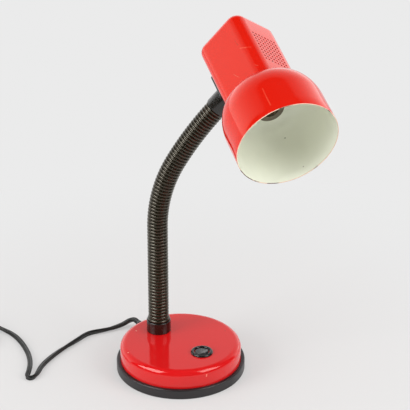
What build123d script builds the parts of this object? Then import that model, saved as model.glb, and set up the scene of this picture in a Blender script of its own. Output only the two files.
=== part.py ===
from build123d import *
import math
import os

os.makedirs("parts", exist_ok=True)

# Desk lamp with a gooseneck. Millimetres, +Z up, the switch in front at -Y.
# The origin is the middle of the base's underside, on the desk.

# Base
ring_radius = 70.0
ring_height = 10.9
ring_edge_radius = 1.5
lip_inner_radius = 60.0
lip_height = 2.0
cover_radius = 65.9
cover_top = 31.0
cover_wall = 1.0
cover_edge_radius = 7.0
ring_clearance = 0.1
plate_thickness = 1.2
plate_clearance = 0.2
pad_clearance = 0.2
ballast_radius = 60.0
ballast_height = 11.0
post_circle = 52.0
post_count = 3
post_start_angle = 30.0
post_radius = 3.5
screw_radius = 1.9
screw_head_radius = 3.6
screw_head_height = 1.6
screw_thread_length = 8.0
screw_clearance = 0.3
thread_clearance = 0.05

# Rocker switch
switch_y = -33.5
bezel_radius = 11.9
bezel_height = 2.2
bezel_edge_radius = 1.2
switch_body_radius = 9.9
switch_cutout_clearance = 0.15
switch_body_depth = 14.0
switch_well_radius = 8.3
rocker_radius = 8.0
rocker_tilt = 9.0
rocker_pivot_drop = 1.0
rocker_valley = 2.2
rocker_depth = 5.0
trunnion_radius = 1.2
trunnion_reach = 9.2
trunnion_clearance = 0.05
well_clearance = 0.4
switch_pocket_radius = 14.5
terminal_spacing = 8.0
terminal_width = 4.8
terminal_thickness = 0.8
terminal_length = 8.0

# Neck. Its centreline leaves the cover straight up, then bends in one upright plane.
neck_y = 35.0
bend_azimuth = -50.5
neck_straight = 127.0
lower_bend_radius = 160.0
lower_bend_angle = 29.2
upper_bend_radius = 420.0
upper_bend_angle = 10.3
lower_collar_radius = 13.2
lower_collar_height = 13.5
upper_collar_radius = 12.2
upper_collar_length = 22.0
collar_edge_radius = 0.8
link_count = 12
ribs_per_link = 6
rib_crest_radius = 11.25
rib_groove_radius = 9.8
rib_groove_share = 0.25
rib_crest_share = 0.40
sleeve_bore_radius = 9.1
flare_height = 1.7
flare_ribs = 2.5
core_radius = 5.5
core_ball_radius = 7.3
core_ball_clearance = 0.3
core_cup_radius = 8.6
core_cup_start = 0.5
core_cup_length = 9.0
core_flange_radius = 8.9
core_flange_thickness = 4.0
lead_bore_radius = 3.2
bore_step_overlap = 1.5
stem_radius = 5.0
stem_bore_radius = 2.9
stem_clearance = 0.1
nut_across_flats = 14.0
nut_thickness = 5.0
washer_radius = 11.0
washer_thickness = 1.5
stem_overhang = 2.0

# Head. Its own frame has x towards the vents, z from the shade's rim to the closed end.
head_turn = -57.4
mounting_plate_thickness = 2.5
mounting_plate_length = 36.0
mounting_plate_width = 42.0
mounting_plate_corner = 4.0
mounting_plate_edge_radius = 0.6
swivel_gap = 0.2
casing_side = 62.0
casing_corner = 12.0
casing_end_radius = 9.0
casing_wall = 0.8
casing_end = 161.0
neck_mount_depth = 110.7
shade_radius = 53.4
shade_straight = 36.0
shade_depth = 71.0
shade_top_radius = 32.0
shade_wall = 0.8
shade_hole_radius = 17.0
casing_seam = 0.1
vent_radius = 0.8
vent_pitch = 4.5
vent_columns = 8
vent_rows = 10
tab_width = 14.0
tab_reach = 11.0
tab_thickness = 1.2
shade_screw_radius = 1.45
shade_screw_length = 5.0
shade_screw_head_radius = 2.8
shade_screw_head_height = 1.6
shade_screw_clearance = 0.15
holder_mouth = 50.0
holder_radius = 14.5
holder_skirt = 16.0
holder_shoulder = 1.5
holder_edge_radius = 1.0
holder_back_radius = 13.0
holder_length = 50.0
holder_nipple_length = 8.0
holder_mouth_radius = 8.3
shell_outer_radius = 7.6
shell_wall = 0.6
shell_inset = 2.0
shell_length = 16.5
contact_radius = 2.5
contact_height = 1.6
contact_clearance = 0.5
bracket_thickness = 1.2
bracket_width = 22.0
bracket_reach = 42.0
bracket_corner = 1.0

# Mains cord and its fittings
cord_radius = 2.6
cord_angle = 78.0
cord_height = 9.0
relief_start = 61.0
relief_flange_radius = 5.3
relief_flange_thickness = 1.9
relief_neck_radius = 4.1
relief_root_radius = 4.4
relief_tip_radius = 3.3
relief_end = 92.0
relief_clearance = 0.1
tail_start = 44.0
clamp_start = 46.0
clamp_length = 8.0
clamp_width = 14.0
clamp_cap = 1.6
clamp_screw_radius = 1.2
clamp_screw_spacing = 9.6
clamp_screw_head_radius = 1.9
clamp_screw_head_height = 1.2
notch_width = 18.0
notch_start = 37.0
wire_radius = 1.1
wire_bend = 2.5
block_x = -26.0
block_y = 2.0
block_width = 14.0
block_length = 20.0
block_height = 10.0
block_pole_pitch = 9.0
block_screw_radius = 1.6
block_screw_depth = 4.0
block_corner = 1.0
lead_pair_offset = 1.4

coil_x = -144.7
coil_y = 214.3
coil_heading = 137.0
coil_radius = 38.0
coil_turns = 3.25
coil_pitch = 5.8
coil_layer_rise = 5.8
coil_lead = 6.0
tie_thickness = 0.8
tie_width = 6.0
tie_clearance = 0.4
tie_corner = 2.5
plug_length = 36.0
plug_width = 35.3
plug_thickness = 13.7
plug_corner = 4.5
plug_grip_length = 14.0
plug_neck_width = 13.0
plug_neck_thickness = 10.0
plug_stub_length = 12.0
plug_stub_radius = 4.2
plug_lift = 0.05
plug_lead = 34.0
pin_radius = 2.0
pin_length = 19.0
pin_spacing = 18.6


def finish(piece, name):
    piece.part.label = name
    export_step(piece.part, f"parts/{name}.step")


def side_of(plane):
    """Plane through the axis of another: x is its x, y is its z."""
    return Plane(origin=plane.origin, x_dir=plane.x_dir, z_dir=-plane.y_dir)


# Levels that several pieces share
plate_top = lip_height + plate_thickness
ballast_top = plate_top + ballast_height
cover_under = cover_top - cover_wall
ring_bore_radius = cover_radius + ring_clearance
cover_bore_radius = cover_radius - cover_wall
post_pattern = PolarLocations(post_circle, post_count, start_angle=post_start_angle)

# The cord leaves the base level and outwards: x runs round the base, y up, z out.
cord_turn = math.radians(cord_angle)
exit_plane = Plane(
    origin=(0, 0, cord_height),
    x_dir=(-math.sin(cord_turn), math.cos(cord_turn), 0),
    z_dir=(math.cos(cord_turn), math.sin(cord_turn), 0),
)


def neck_plane(distance):
    """Plane square to the neck's centreline, at a distance along it from the cover's top."""
    azimuth = math.radians(bend_azimuth)
    rise = min(distance, neck_straight)
    out, up, tilt, left = 0.0, cover_top + rise, 0.0, distance - rise
    bends = (
        (lower_bend_radius, lower_bend_angle),
        (upper_bend_radius, upper_bend_angle),
    )
    for radius, angle in bends:
        turn = min(math.radians(angle), left / radius)
        out += radius * (math.cos(tilt) - math.cos(tilt + turn))
        up += radius * (math.sin(tilt + turn) - math.sin(tilt))
        tilt += turn
        left -= turn * radius
    out += left * math.sin(tilt)
    up += left * math.cos(tilt)
    return Plane(
        origin=(out * math.cos(azimuth), neck_y + out * math.sin(azimuth), up),
        x_dir=(-math.sin(azimuth), math.cos(azimuth), 0),
        z_dir=(
            math.sin(tilt) * math.cos(azimuth),
            math.sin(tilt) * math.sin(azimuth),
            math.cos(tilt),
        ),
    )


lower_arc = lower_bend_radius * math.radians(lower_bend_angle)
upper_arc = upper_bend_radius * math.radians(upper_bend_angle)
ribs_end = neck_straight + lower_arc + upper_arc
neck_end = ribs_end + upper_collar_length + mounting_plate_thickness
link_length = (ribs_end - lower_collar_height) / link_count
rib_pitch = link_length / ribs_per_link


def station(index):
    """Distance along the neck of the joint under a link; index 0 is the lower collar's top."""
    return lower_collar_height + index * link_length


# The head turns on the end of the neck, so its frame hangs from the neck's last plane.
neck_tip = neck_plane(neck_end)
turn_axis = Axis(neck_tip.origin, neck_tip.z_dir)
light_dir = Vector(*(-neck_tip.y_dir)).rotate(Axis((0, 0, 0), neck_tip.z_dir), head_turn)
head_plane = Plane(
    origin=neck_tip.origin
    + light_dir * neck_mount_depth
    + neck_tip.z_dir * (casing_side / 2),
    x_dir=neck_tip.z_dir,
    z_dir=-light_dir,
)
head_axis = Axis(head_plane.origin, head_plane.z_dir)
head_side = side_of(head_plane)


def head_offset(depth):
    return head_plane.offset(depth)


# Base
with BuildPart() as base_ring:
    with BuildSketch(Plane.XZ):
        with BuildLine():
            Polyline(
                (lip_inner_radius, 0),
                (ring_radius, 0),
                (ring_radius, ring_height),
                (ring_bore_radius, ring_height),
                (ring_bore_radius, lip_height),
                (lip_inner_radius, lip_height),
                close=True,
            )
        make_face()
    revolve(axis=Axis.Z)
    fillet(base_ring.edges().group_by(Axis.Z)[-1].sort_by(SortBy.RADIUS)[-1], ring_edge_radius)
    with BuildSketch(exit_plane.offset(cover_bore_radius)):
        Circle(relief_neck_radius + relief_clearance)
        Rectangle(
            2 * (relief_neck_radius + relief_clearance),
            ring_height,
            align=(Align.CENTER, Align.MIN),
        )
    extrude(amount=ring_radius, mode=Mode.SUBTRACT)
finish(base_ring, "base_ring")

with BuildPart() as base_cover:
    with BuildSketch(Plane.XY.offset(lip_height)):
        Circle(cover_radius)
    extrude(amount=cover_top - lip_height)
    fillet(base_cover.edges().group_by(Axis.Z)[-1], cover_edge_radius)
    offset(amount=-cover_wall, openings=base_cover.faces().sort_by(Axis.Z)[0])
    with BuildSketch(Plane.XY.offset(ballast_top)):
        with post_pattern:
            Circle(post_radius)
    extrude(amount=cover_under - ballast_top)
    with BuildSketch(Plane.XY.offset(ballast_top)):
        with post_pattern:
            Circle(screw_radius + thread_clearance)
    extrude(amount=screw_thread_length + screw_clearance, mode=Mode.SUBTRACT)
    with Locations((0, switch_y, cover_top)):
        Hole(switch_body_radius + switch_cutout_clearance, depth=2 * cover_wall)
    with Locations((0, neck_y, cover_top)):
        Hole(stem_radius + stem_clearance, depth=2 * cover_wall)
    with BuildSketch(exit_plane.offset(cover_bore_radius - ring_height)):
        Circle(relief_neck_radius + relief_clearance)
    extrude(amount=2 * ring_height, mode=Mode.SUBTRACT)
finish(base_cover, "base_cover")

with BuildPart() as base_pad:
    with BuildSketch():
        Circle(lip_inner_radius - pad_clearance)
        with post_pattern:
            Circle(screw_head_radius + screw_clearance, mode=Mode.SUBTRACT)
    extrude(amount=lip_height)
finish(base_pad, "base_pad")

with BuildPart() as bottom_plate:
    with BuildSketch(Plane.XY.offset(lip_height)):
        Circle(cover_bore_radius - plate_clearance)
        with post_pattern:
            Circle(screw_radius + screw_clearance, mode=Mode.SUBTRACT)
    extrude(amount=plate_thickness)
finish(bottom_plate, "bottom_plate")

with BuildPart() as ballast:
    with BuildSketch(Plane.XY.offset(plate_top)):
        Circle(ballast_radius)
        with post_pattern:
            Circle(screw_radius + screw_clearance, mode=Mode.SUBTRACT)
        with Locations((0, switch_y)):
            Circle(switch_pocket_radius, mode=Mode.SUBTRACT)
    extrude(amount=ballast_height)
    with BuildSketch(exit_plane.offset(notch_start)):
        Rectangle(notch_width, 2 * ballast_top)
    extrude(amount=ballast_radius, mode=Mode.SUBTRACT)
finish(ballast, "ballast")

with BuildPart() as plate_screws:
    with BuildSketch(Plane.XY.offset(lip_height - screw_head_height)):
        with post_pattern:
            Circle(screw_head_radius)
    extrude(amount=screw_head_height)
    fillet(plate_screws.edges().group_by(Axis.Z)[0], screw_head_height / 3)
    with BuildSketch(Plane.XY.offset(lip_height)):
        with post_pattern:
            Circle(screw_radius)
    extrude(amount=ballast_top + screw_thread_length - lip_height)
    with BuildSketch(Plane.XY.offset(lip_height - screw_head_height)):
        with post_pattern:
            RegularPolygon(screw_radius, 6)
    extrude(amount=screw_head_height / 2, mode=Mode.SUBTRACT)
finish(plate_screws, "plate_screws")

# Switch
bezel_top = cover_top + bezel_height
pivot_height = cover_top - rocker_pivot_drop
switch_body_bottom = cover_under - switch_body_depth
well_floor = pivot_height - rocker_radius - well_clearance
switch_side = side_of(Plane(origin=(0, switch_y, 0)))
switch_axis = Axis((0, switch_y, 0), (0, 0, 1))

with BuildPart() as switch_housing:
    with BuildSketch(switch_side):
        with BuildLine():
            Polyline(
                (0, switch_body_bottom),
                (switch_body_radius, switch_body_bottom),
                (switch_body_radius, cover_top),
                (bezel_radius, cover_top),
                (bezel_radius, bezel_top),
                (switch_well_radius, bezel_top),
                (switch_well_radius, well_floor),
                (0, well_floor),
                close=True,
            )
        make_face()
    revolve(axis=switch_axis)
    bezel_edges = switch_housing.edges().group_by(Axis.Z)[-1].sort_by(SortBy.RADIUS)
    fillet(bezel_edges[-1], bezel_edge_radius)
    with BuildSketch(Plane(origin=(0, switch_y, pivot_height), z_dir=(1, 0, 0))):
        Circle(trunnion_radius + trunnion_clearance)
    extrude(amount=trunnion_reach + trunnion_clearance, both=True, mode=Mode.SUBTRACT)
finish(switch_housing, "switch_housing")

rocker_plane = Plane(origin=(0, switch_y, pivot_height)).rotated((-rocker_tilt, 0, 0))
rocker_side = Plane(
    origin=rocker_plane.origin, x_dir=rocker_plane.y_dir, z_dir=rocker_plane.x_dir
)
rocker_rise = rocker_radius * math.tan(math.radians(rocker_tilt))
with BuildPart() as switch_rocker:
    with Locations(rocker_plane):
        Sphere(rocker_radius)
    with BuildSketch(rocker_side):
        with BuildLine():
            Polyline(
                (-rocker_radius, -rocker_depth),
                (rocker_radius, -rocker_depth),
                (rocker_radius, rocker_valley + rocker_rise),
                (0, rocker_valley),
                (-rocker_radius, rocker_valley + rocker_rise),
                close=True,
            )
        make_face()
    extrude(amount=rocker_radius, both=True, mode=Mode.INTERSECT)
    with BuildSketch(rocker_side):
        Circle(trunnion_radius)
    extrude(amount=trunnion_reach, both=True)
finish(switch_rocker, "switch_rocker")

with BuildPart() as switch_terminals:
    with BuildSketch(Plane.XY.offset(switch_body_bottom - terminal_length)):
        with Locations((0, switch_y)):
            with GridLocations(terminal_spacing, 0, 2, 1):
                Rectangle(terminal_thickness, terminal_width)
    extrude(amount=terminal_length)
finish(switch_terminals, "switch_terminals")

# Cord entry
with BuildPart() as strain_relief:
    bore = cord_radius + relief_clearance
    inner_seat = relief_start + relief_flange_thickness
    outer_seat = ring_radius + relief_clearance
    with BuildSketch(side_of(exit_plane)):
        with BuildLine():
            Polyline(
                (bore, relief_start),
                (relief_flange_radius, relief_start),
                (relief_flange_radius, inner_seat),
                (relief_neck_radius, inner_seat),
                (relief_neck_radius, outer_seat),
                (relief_flange_radius, outer_seat),
                (relief_flange_radius, outer_seat + relief_flange_thickness),
                (relief_root_radius, outer_seat + relief_flange_thickness),
                (relief_tip_radius, relief_end),
                (bore, relief_end),
                close=True,
            )
        make_face()
    revolve(axis=Axis(exit_plane.origin, exit_plane.z_dir))
finish(strain_relief, "strain_relief")

with BuildPart() as cord_tail:
    with BuildSketch(exit_plane.offset(tail_start)):
        Circle(cord_radius)
    extrude(amount=relief_end - tail_start)
finish(cord_tail, "cord_tail")

clamp_top = cord_radius + clamp_cap
clamp_under = plate_top - cord_height
clamp_middle = exit_plane.offset(clamp_start + clamp_length / 2).origin
clamp_spots = [
    clamp_middle + exit_plane.x_dir * side * clamp_screw_spacing / 2 for side in (-1, 1)
]
with BuildPart() as cord_clamp:
    with BuildSketch(exit_plane.offset(clamp_start)):
        with Locations((0, (clamp_top + clamp_under) / 2)):
            Rectangle(clamp_width, clamp_top - clamp_under)
        Circle(cord_radius + relief_clearance, mode=Mode.SUBTRACT)
    extrude(amount=clamp_length)
    for spot in clamp_spots:
        with BuildSketch(Plane.XY.offset(plate_top)):
            with Locations((spot.X, spot.Y)):
                Circle(clamp_screw_radius + thread_clearance)
        extrude(amount=2 * ballast_height, mode=Mode.SUBTRACT)
finish(cord_clamp, "cord_clamp")

with BuildPart() as clamp_screws:
    for spot in clamp_spots:
        with BuildSketch(Plane.XY.offset(plate_top + clamp_screw_head_height)):
            with Locations((spot.X, spot.Y)):
                Circle(clamp_screw_radius)
        extrude(amount=cord_height + clamp_top - plate_top - clamp_screw_head_height)
        with BuildSketch(Plane.XY.offset(cord_height + clamp_top)):
            with Locations((spot.X, spot.Y)):
                Circle(clamp_screw_head_radius)
        extrude(amount=clamp_screw_head_height)
finish(clamp_screws, "clamp_screws")

block_top = ballast_top + block_height
block_poles = (block_y - block_pole_pitch / 2, block_y + block_pole_pitch / 2)
block_wire_height = ballast_top + block_height / 3
with BuildPart() as terminal_block:
    with BuildSketch(Plane.XY.offset(ballast_top)):
        with Locations((block_x, block_y)):
            Rectangle(block_width, block_length)
    extrude(amount=block_height)
    fillet(terminal_block.edges().filter_by(Axis.Z), block_corner)
    with BuildSketch(Plane.XY.offset(block_top)):
        with Locations((block_x, block_poles[0]), (block_x, block_poles[1])):
            Circle(block_screw_radius + thread_clearance)
    extrude(amount=-block_screw_depth, mode=Mode.SUBTRACT)
finish(terminal_block, "terminal_block")

with BuildPart() as terminal_screws:
    with BuildSketch(Plane.XY.offset(block_top)):
        with Locations((block_x, block_poles[0]), (block_x, block_poles[1])):
            Circle(block_screw_radius)
    extrude(amount=-block_screw_depth)
    with BuildSketch(Plane.XY.offset(block_top)):
        with Locations((block_x, block_poles[0]), (block_x, block_poles[1])):
            Rectangle(2 * block_screw_radius, block_screw_radius / 3)
    extrude(amount=-block_screw_radius / 3, mode=Mode.SUBTRACT)
finish(terminal_screws, "terminal_screws")


def add_wire(*points):
    """Insulated wire along straight runs with equal bends."""
    with BuildLine() as run:
        FilletPolyline(*points, radius=wire_bend)
    path = run.wires()[0]
    with BuildSketch(Plane(origin=path @ 0, z_dir=path % 0)) as section:
        Circle(wire_radius)
    sweep(section.sketch, path=path)


tail_face = exit_plane.offset(tail_start)
wire_step = 1.3
wire_level = ballast_top + wire_radius + 1.0
wire_cross_level = wire_level + 2 * wire_radius + 1.0
block_side = block_x + block_width / 2
blade_x = terminal_spacing / 2 + terminal_thickness / 2 + wire_radius
blade_low = switch_body_bottom - terminal_length / 2
stem_foot = cover_under - washer_thickness - nut_thickness - stem_overhang


def tail_point(side, inward, height):
    spot = tail_face.origin + exit_plane.x_dir * side * wire_step - exit_plane.z_dir * inward
    return (spot.X, spot.Y, height)


with BuildPart() as base_leads:
    add_wire(
        tail_point(1, 0, cord_height),
        tail_point(1, 3.6, cord_height),
        tail_point(1, 3.6, wire_level),
        (4, 22, wire_level),
        (-12, block_poles[1], wire_level),
        (block_side, block_poles[1], wire_level),
    )
    add_wire(
        tail_point(-1, 0, cord_height),
        tail_point(-1, 3.6, cord_height),
        tail_point(-1, 3.6, wire_cross_level),
        (18, 20, wire_cross_level),
        (18, -18, wire_cross_level),
        (blade_x, switch_y + 12, wire_cross_level),
        (blade_x, switch_y + 11.5, blade_low),
        (blade_x, switch_y, blade_low),
    )
    add_wire(
        (-blade_x, switch_y, blade_low),
        (-blade_x, switch_y + 11.5, blade_low),
        (-blade_x, switch_y + 12, wire_level),
        (-12, block_poles[0], wire_level),
        (block_side, block_poles[0], wire_level),
    )
    for side in (-1, 1):
        add_wire(
            (block_x + side * 3, block_y + block_length / 2, wire_level),
            (block_x + side * 3, neck_y - side * lead_pair_offset, wire_level),
            (0, neck_y - side * lead_pair_offset, wire_level),
            (0, neck_y - side * lead_pair_offset, cover_top),
        )
finish(base_leads, "base_leads")

# Neck fittings on the base
foot_plane = neck_plane(0)


def add_tube(plane, radius, length, mode=Mode.ADD):
    """Round bar from a plane along its normal."""
    with BuildSketch(plane) as section:
        Circle(radius)
    extrude(section.sketch, amount=length, mode=mode)


def add_ball(start, index):
    """Core bar from a point up to the ball at a station, with its bore."""
    centre = neck_plane(station(index)).origin
    add_tube(Plane(origin=start, z_dir=centre - start), core_radius, (centre - start).length)
    with Locations(centre):
        Sphere(core_ball_radius)


def bore_core(start, end, overrun):
    """Bore for the leads, a little past both ends of the bar."""
    along = (end - start).normalized()
    first = start - along * overrun
    add_tube(
        Plane(origin=first, z_dir=along),
        lead_bore_radius,
        (end - start).length + 2 * overrun,
        Mode.SUBTRACT,
    )


def add_cup(plane):
    """Cup that holds the ball of the link below."""
    add_tube(plane.offset(core_cup_start), core_cup_radius, core_cup_length)


def hollow_cup(plane):
    with Locations(plane.origin):
        Sphere(core_ball_radius + core_ball_clearance, mode=Mode.SUBTRACT)


with BuildPart() as neck_washer:
    with BuildSketch(foot_plane.offset(-cover_wall)):
        Circle(washer_radius)
        Circle(stem_radius + stem_clearance, mode=Mode.SUBTRACT)
    extrude(amount=-washer_thickness)
finish(neck_washer, "neck_washer")

with BuildPart() as neck_nut:
    with BuildSketch(foot_plane.offset(-cover_wall - washer_thickness)):
        RegularPolygon(nut_across_flats / 2, 6, major_radius=False)
        Circle(stem_radius + thread_clearance, mode=Mode.SUBTRACT)
    extrude(amount=-nut_thickness)
finish(neck_nut, "neck_nut")

with BuildPart() as neck_stem:
    stem_bottom = neck_plane(stem_foot - cover_top)
    add_tube(stem_bottom, stem_radius, cover_top - stem_foot)
    add_tube(foot_plane, core_flange_radius, core_flange_thickness)
    add_ball(foot_plane.origin, 1)
    bore_core(stem_bottom.origin, neck_plane(station(1)).origin, core_ball_radius)
finish(neck_stem, "neck_stem")

with BuildPart() as lower_collar:
    with BuildSketch(foot_plane):
        Circle(lower_collar_radius)
        Circle(sleeve_bore_radius, mode=Mode.SUBTRACT)
    extrude(amount=lower_collar_height)
    fillet(lower_collar.edges().group_by(Axis.Z)[-1].sort_by(SortBy.RADIUS)[-1], collar_edge_radius)
finish(lower_collar, "lower_collar")

# Gooseneck: ribbed sleeve and steel core, in links that turn on each other
for index in range(link_count):
    rings = []
    for rib in range(ribs_per_link):
        foot = station(index) + rib * rib_pitch
        for share, radius in (
            (rib_groove_share, rib_groove_radius),
            (rib_crest_share, rib_crest_radius),
            (1 - rib_crest_share, rib_crest_radius),
            (1 - rib_groove_share, rib_groove_radius),
        ):
            distance = foot + share * rib_pitch
            ribs_up = (distance - lower_collar_height) / rib_pitch
            flare = flare_height * max(0.0, 1 - ribs_up / flare_ribs)
            rings.append((distance, radius + flare))
    if index == 0:
        rings.insert(0, (lower_collar_height, rib_groove_radius + flare_height))
    if index == link_count - 1:
        rings.append((ribs_end, rib_groove_radius))
    with BuildPart() as sleeve:
        for distance, radius in rings:
            with BuildSketch(neck_plane(distance)):
                Circle(radius)
        loft(ruled=True)
        first, last = rings[0][0], rings[-1][0]
        for step in range(ribs_per_link + 1):
            distance = first - 1 + (last - first + 2) * step / ribs_per_link
            with BuildSketch(neck_plane(distance)):
                Circle(sleeve_bore_radius)
        loft(ruled=True, mode=Mode.SUBTRACT)
    finish(sleeve, f"sleeve_{index:02d}")

for index in range(1, link_count - 1):
    with BuildPart() as neck_core:
        cup_plane = neck_plane(station(index))
        add_cup(cup_plane)
        cup_end = cup_plane.offset(core_cup_start + core_cup_length - 1).origin
        add_ball(cup_end, index + 1)
        hollow_cup(cup_plane)
        bore_core(
            cup_plane.origin, neck_plane(station(index + 1)).origin, core_ball_radius
        )
    finish(neck_core, f"neck_core_{index:02d}")

collar_start = neck_plane(ribs_end)
collar_stop = upper_collar_length - swivel_gap
with BuildPart() as upper_collar:
    with BuildSketch(collar_start):
        Circle(upper_collar_radius)
        Circle(sleeve_bore_radius, mode=Mode.SUBTRACT)
    extrude(amount=collar_stop)
    for end in (-1, 0):
        ring = upper_collar.edges().group_by(turn_axis)[end].sort_by(SortBy.RADIUS)[-1]
        fillet(ring, collar_edge_radius)
finish(upper_collar, "upper_collar")

wall_inside = -casing_side / 2 + casing_wall
bracket_inside = wall_inside + bracket_thickness
nut_start = bracket_inside + swivel_gap
head_stem_end = casing_side / 2 + nut_start + nut_thickness + stem_overhang
with BuildPart() as head_stem:
    last_plane = neck_plane(station(link_count - 1))
    add_cup(last_plane)
    bar_start = last_plane.offset(core_cup_start + core_cup_length - 1).origin
    bar_end = collar_start.offset(collar_stop).origin
    add_tube(
        Plane(origin=bar_start, z_dir=bar_end - bar_start),
        core_radius,
        (bar_end - bar_start).length,
    )
    add_tube(
        collar_start.offset(collar_stop - core_flange_thickness),
        core_flange_radius,
        core_flange_thickness,
    )
    add_tube(
        collar_start.offset(collar_stop),
        stem_radius,
        neck_end - ribs_end - collar_stop + head_stem_end,
    )
    hollow_cup(last_plane)
    bore_core(last_plane.origin, bar_end, -bore_step_overlap)
    add_tube(
        collar_start.offset(collar_stop - 2 * bore_step_overlap),
        stem_bore_radius,
        2 * upper_collar_length,
        Mode.SUBTRACT,
    )
finish(head_stem, "head_stem")

with BuildPart() as head_nut:
    with BuildSketch(neck_tip.offset(casing_side / 2 + nut_start)):
        RegularPolygon(nut_across_flats / 2, 6, major_radius=False)
        Circle(stem_radius + thread_clearance, mode=Mode.SUBTRACT)
    extrude(amount=nut_thickness)
finish(head_nut, "head_nut")

# Head
with BuildPart() as mounting_plate:
    plate_face = Plane(
        origin=neck_tip.origin, x_dir=head_plane.z_dir, z_dir=-neck_tip.z_dir
    )
    with BuildSketch(plate_face):
        RectangleRounded(mounting_plate_length, mounting_plate_width, mounting_plate_corner)
        Circle(stem_radius + stem_clearance, mode=Mode.SUBTRACT)
    extrude(amount=mounting_plate_thickness)
    outer_face = mounting_plate.faces().sort_by(turn_axis)[0]
    fillet(outer_face.outer_wire().edges(), mounting_plate_edge_radius)
finish(mounting_plate, "mounting_plate")

dome_width = shade_radius - shade_top_radius
dome_height = shade_depth - shade_straight
vent_middle = neck_mount_depth
casing_start = shade_depth - casing_corner
with BuildPart() as casing:
    with BuildSketch(head_offset(casing_start)):
        RectangleRounded(casing_side, casing_side, casing_corner)
    extrude(amount=casing_end - casing_start)
    fillet(casing.faces().sort_by(head_axis)[-1].edges(), casing_end_radius)
    offset(amount=-casing_wall, openings=casing.faces().sort_by(head_axis)[0])
    with BuildSketch(head_side):
        with BuildLine():
            seam_top = shade_depth + casing_seam
            EllipticalCenterArc(
                (shade_top_radius, shade_straight),
                dome_width + casing_seam,
                dome_height + casing_seam,
                arc_size=90,
            )
            Polyline(
                (shade_top_radius, seam_top),
                (0, seam_top),
                (0, shade_straight),
                (shade_radius + casing_seam, shade_straight),
            )
        make_face()
    revolve(axis=head_axis, mode=Mode.SUBTRACT)
    with BuildSketch(head_offset(shade_depth + casing_seam)):
        with Locations(
            (0, casing_side / 2 - casing_wall / 2 - tab_reach / 2),
            (0, -casing_side / 2 + casing_wall / 2 + tab_reach / 2),
        ):
            Rectangle(tab_width, tab_reach)
    extrude(amount=tab_thickness)
    screw_y = casing_side / 2 - tab_reach / 2 - casing_wall
    with BuildSketch(head_offset(shade_depth)):
        with GridLocations(0, 2 * screw_y, 1, 2):
            Circle(shade_screw_radius + shade_screw_clearance)
    extrude(amount=2 * tab_thickness, mode=Mode.SUBTRACT)
    vent_plane = Plane(
        origin=head_offset(vent_middle).origin, x_dir=head_plane.z_dir, z_dir=head_plane.x_dir
    )
    with BuildSketch(vent_plane):
        with GridLocations(vent_pitch, vent_pitch, vent_rows, vent_columns):
            Circle(vent_radius)
    extrude(amount=casing_side, mode=Mode.SUBTRACT)
    with BuildSketch(neck_tip.offset(-casing_wall)):
        Circle(stem_radius + stem_clearance)
    extrude(amount=3 * casing_wall, mode=Mode.SUBTRACT)
finish(casing, "casing")

inner_depth = shade_depth - shade_wall
with BuildPart() as shade:
    with BuildSketch(head_side):
        with BuildLine():
            EllipticalCenterArc(
                (shade_top_radius, shade_straight),
                dome_width,
                dome_height,
                arc_size=90,
            )
            Polyline(
                (shade_top_radius, shade_depth),
                (shade_hole_radius, shade_depth),
                (shade_hole_radius, inner_depth),
                (shade_top_radius, inner_depth),
            )
            EllipticalCenterArc(
                (shade_top_radius, shade_straight),
                dome_width - shade_wall,
                dome_height - shade_wall,
                arc_size=90,
            )
            Polyline(
                (shade_radius - shade_wall, shade_straight),
                (shade_radius - shade_wall, 0),
                (shade_radius, 0),
                (shade_radius, shade_straight),
            )
        make_face()
    revolve(axis=head_axis)
    with BuildSketch(head_offset(inner_depth)):
        with GridLocations(0, 2 * screw_y, 1, 2):
            Circle(shade_screw_radius + shade_screw_clearance)
    extrude(amount=2 * shade_wall, mode=Mode.SUBTRACT)
finish(shade, "shade")

with BuildPart() as shade_screws:
    with BuildSketch(head_offset(inner_depth)):
        with GridLocations(0, 2 * screw_y, 1, 2):
            Circle(shade_screw_radius)
    extrude(amount=shade_screw_length)
    with BuildSketch(head_offset(inner_depth)):
        with GridLocations(0, 2 * screw_y, 1, 2):
            Circle(shade_screw_head_radius)
    extrude(amount=-shade_screw_head_height)
    fillet(shade_screws.edges().group_by(head_axis)[0], shade_screw_head_height / 3)
finish(shade_screws, "shade_screws")

holder_end = holder_mouth + holder_length
shell_start = holder_mouth + shell_inset
shell_end = shell_start + shell_length
chamber_end = shell_end + contact_clearance + contact_height
holder_chamber = shell_outer_radius + thread_clearance
with BuildPart() as lampholder:
    with BuildSketch(head_side):
        with BuildLine():
            Polyline(
                (holder_mouth_radius, holder_mouth),
                (holder_radius, holder_mouth),
                (holder_radius, holder_mouth + holder_skirt),
                (holder_back_radius, holder_mouth + holder_skirt + holder_shoulder),
                (holder_back_radius, holder_end),
                (stem_radius, holder_end),
                (stem_radius, holder_end + holder_nipple_length),
                (lead_bore_radius, holder_end + holder_nipple_length),
                (lead_bore_radius, holder_end - holder_nipple_length),
                (0, holder_end - holder_nipple_length),
                (0, chamber_end),
                (holder_chamber, chamber_end),
                (holder_chamber, shell_start),
                (holder_mouth_radius, shell_start),
                close=True,
            )
        make_face()
    revolve(axis=head_axis)
    mouth = lampholder.edges().group_by(head_axis)[0].sort_by(SortBy.RADIUS)[-1]
    fillet(mouth, holder_edge_radius)
finish(lampholder, "lampholder")

with BuildPart() as lamp_screw_shell:
    with BuildSketch(head_offset(shell_start)):
        Circle(shell_outer_radius)
        Circle(shell_outer_radius - shell_wall, mode=Mode.SUBTRACT)
    extrude(amount=shell_length)
finish(lamp_screw_shell, "lamp_screw_shell")

with BuildPart() as lamp_contact:
    with BuildSketch(head_offset(chamber_end)):
        Circle(contact_radius)
    extrude(amount=-contact_height)
    fillet(lamp_contact.edges().group_by(head_axis)[0], contact_height / 2)
finish(lamp_contact, "lamp_contact")

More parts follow.
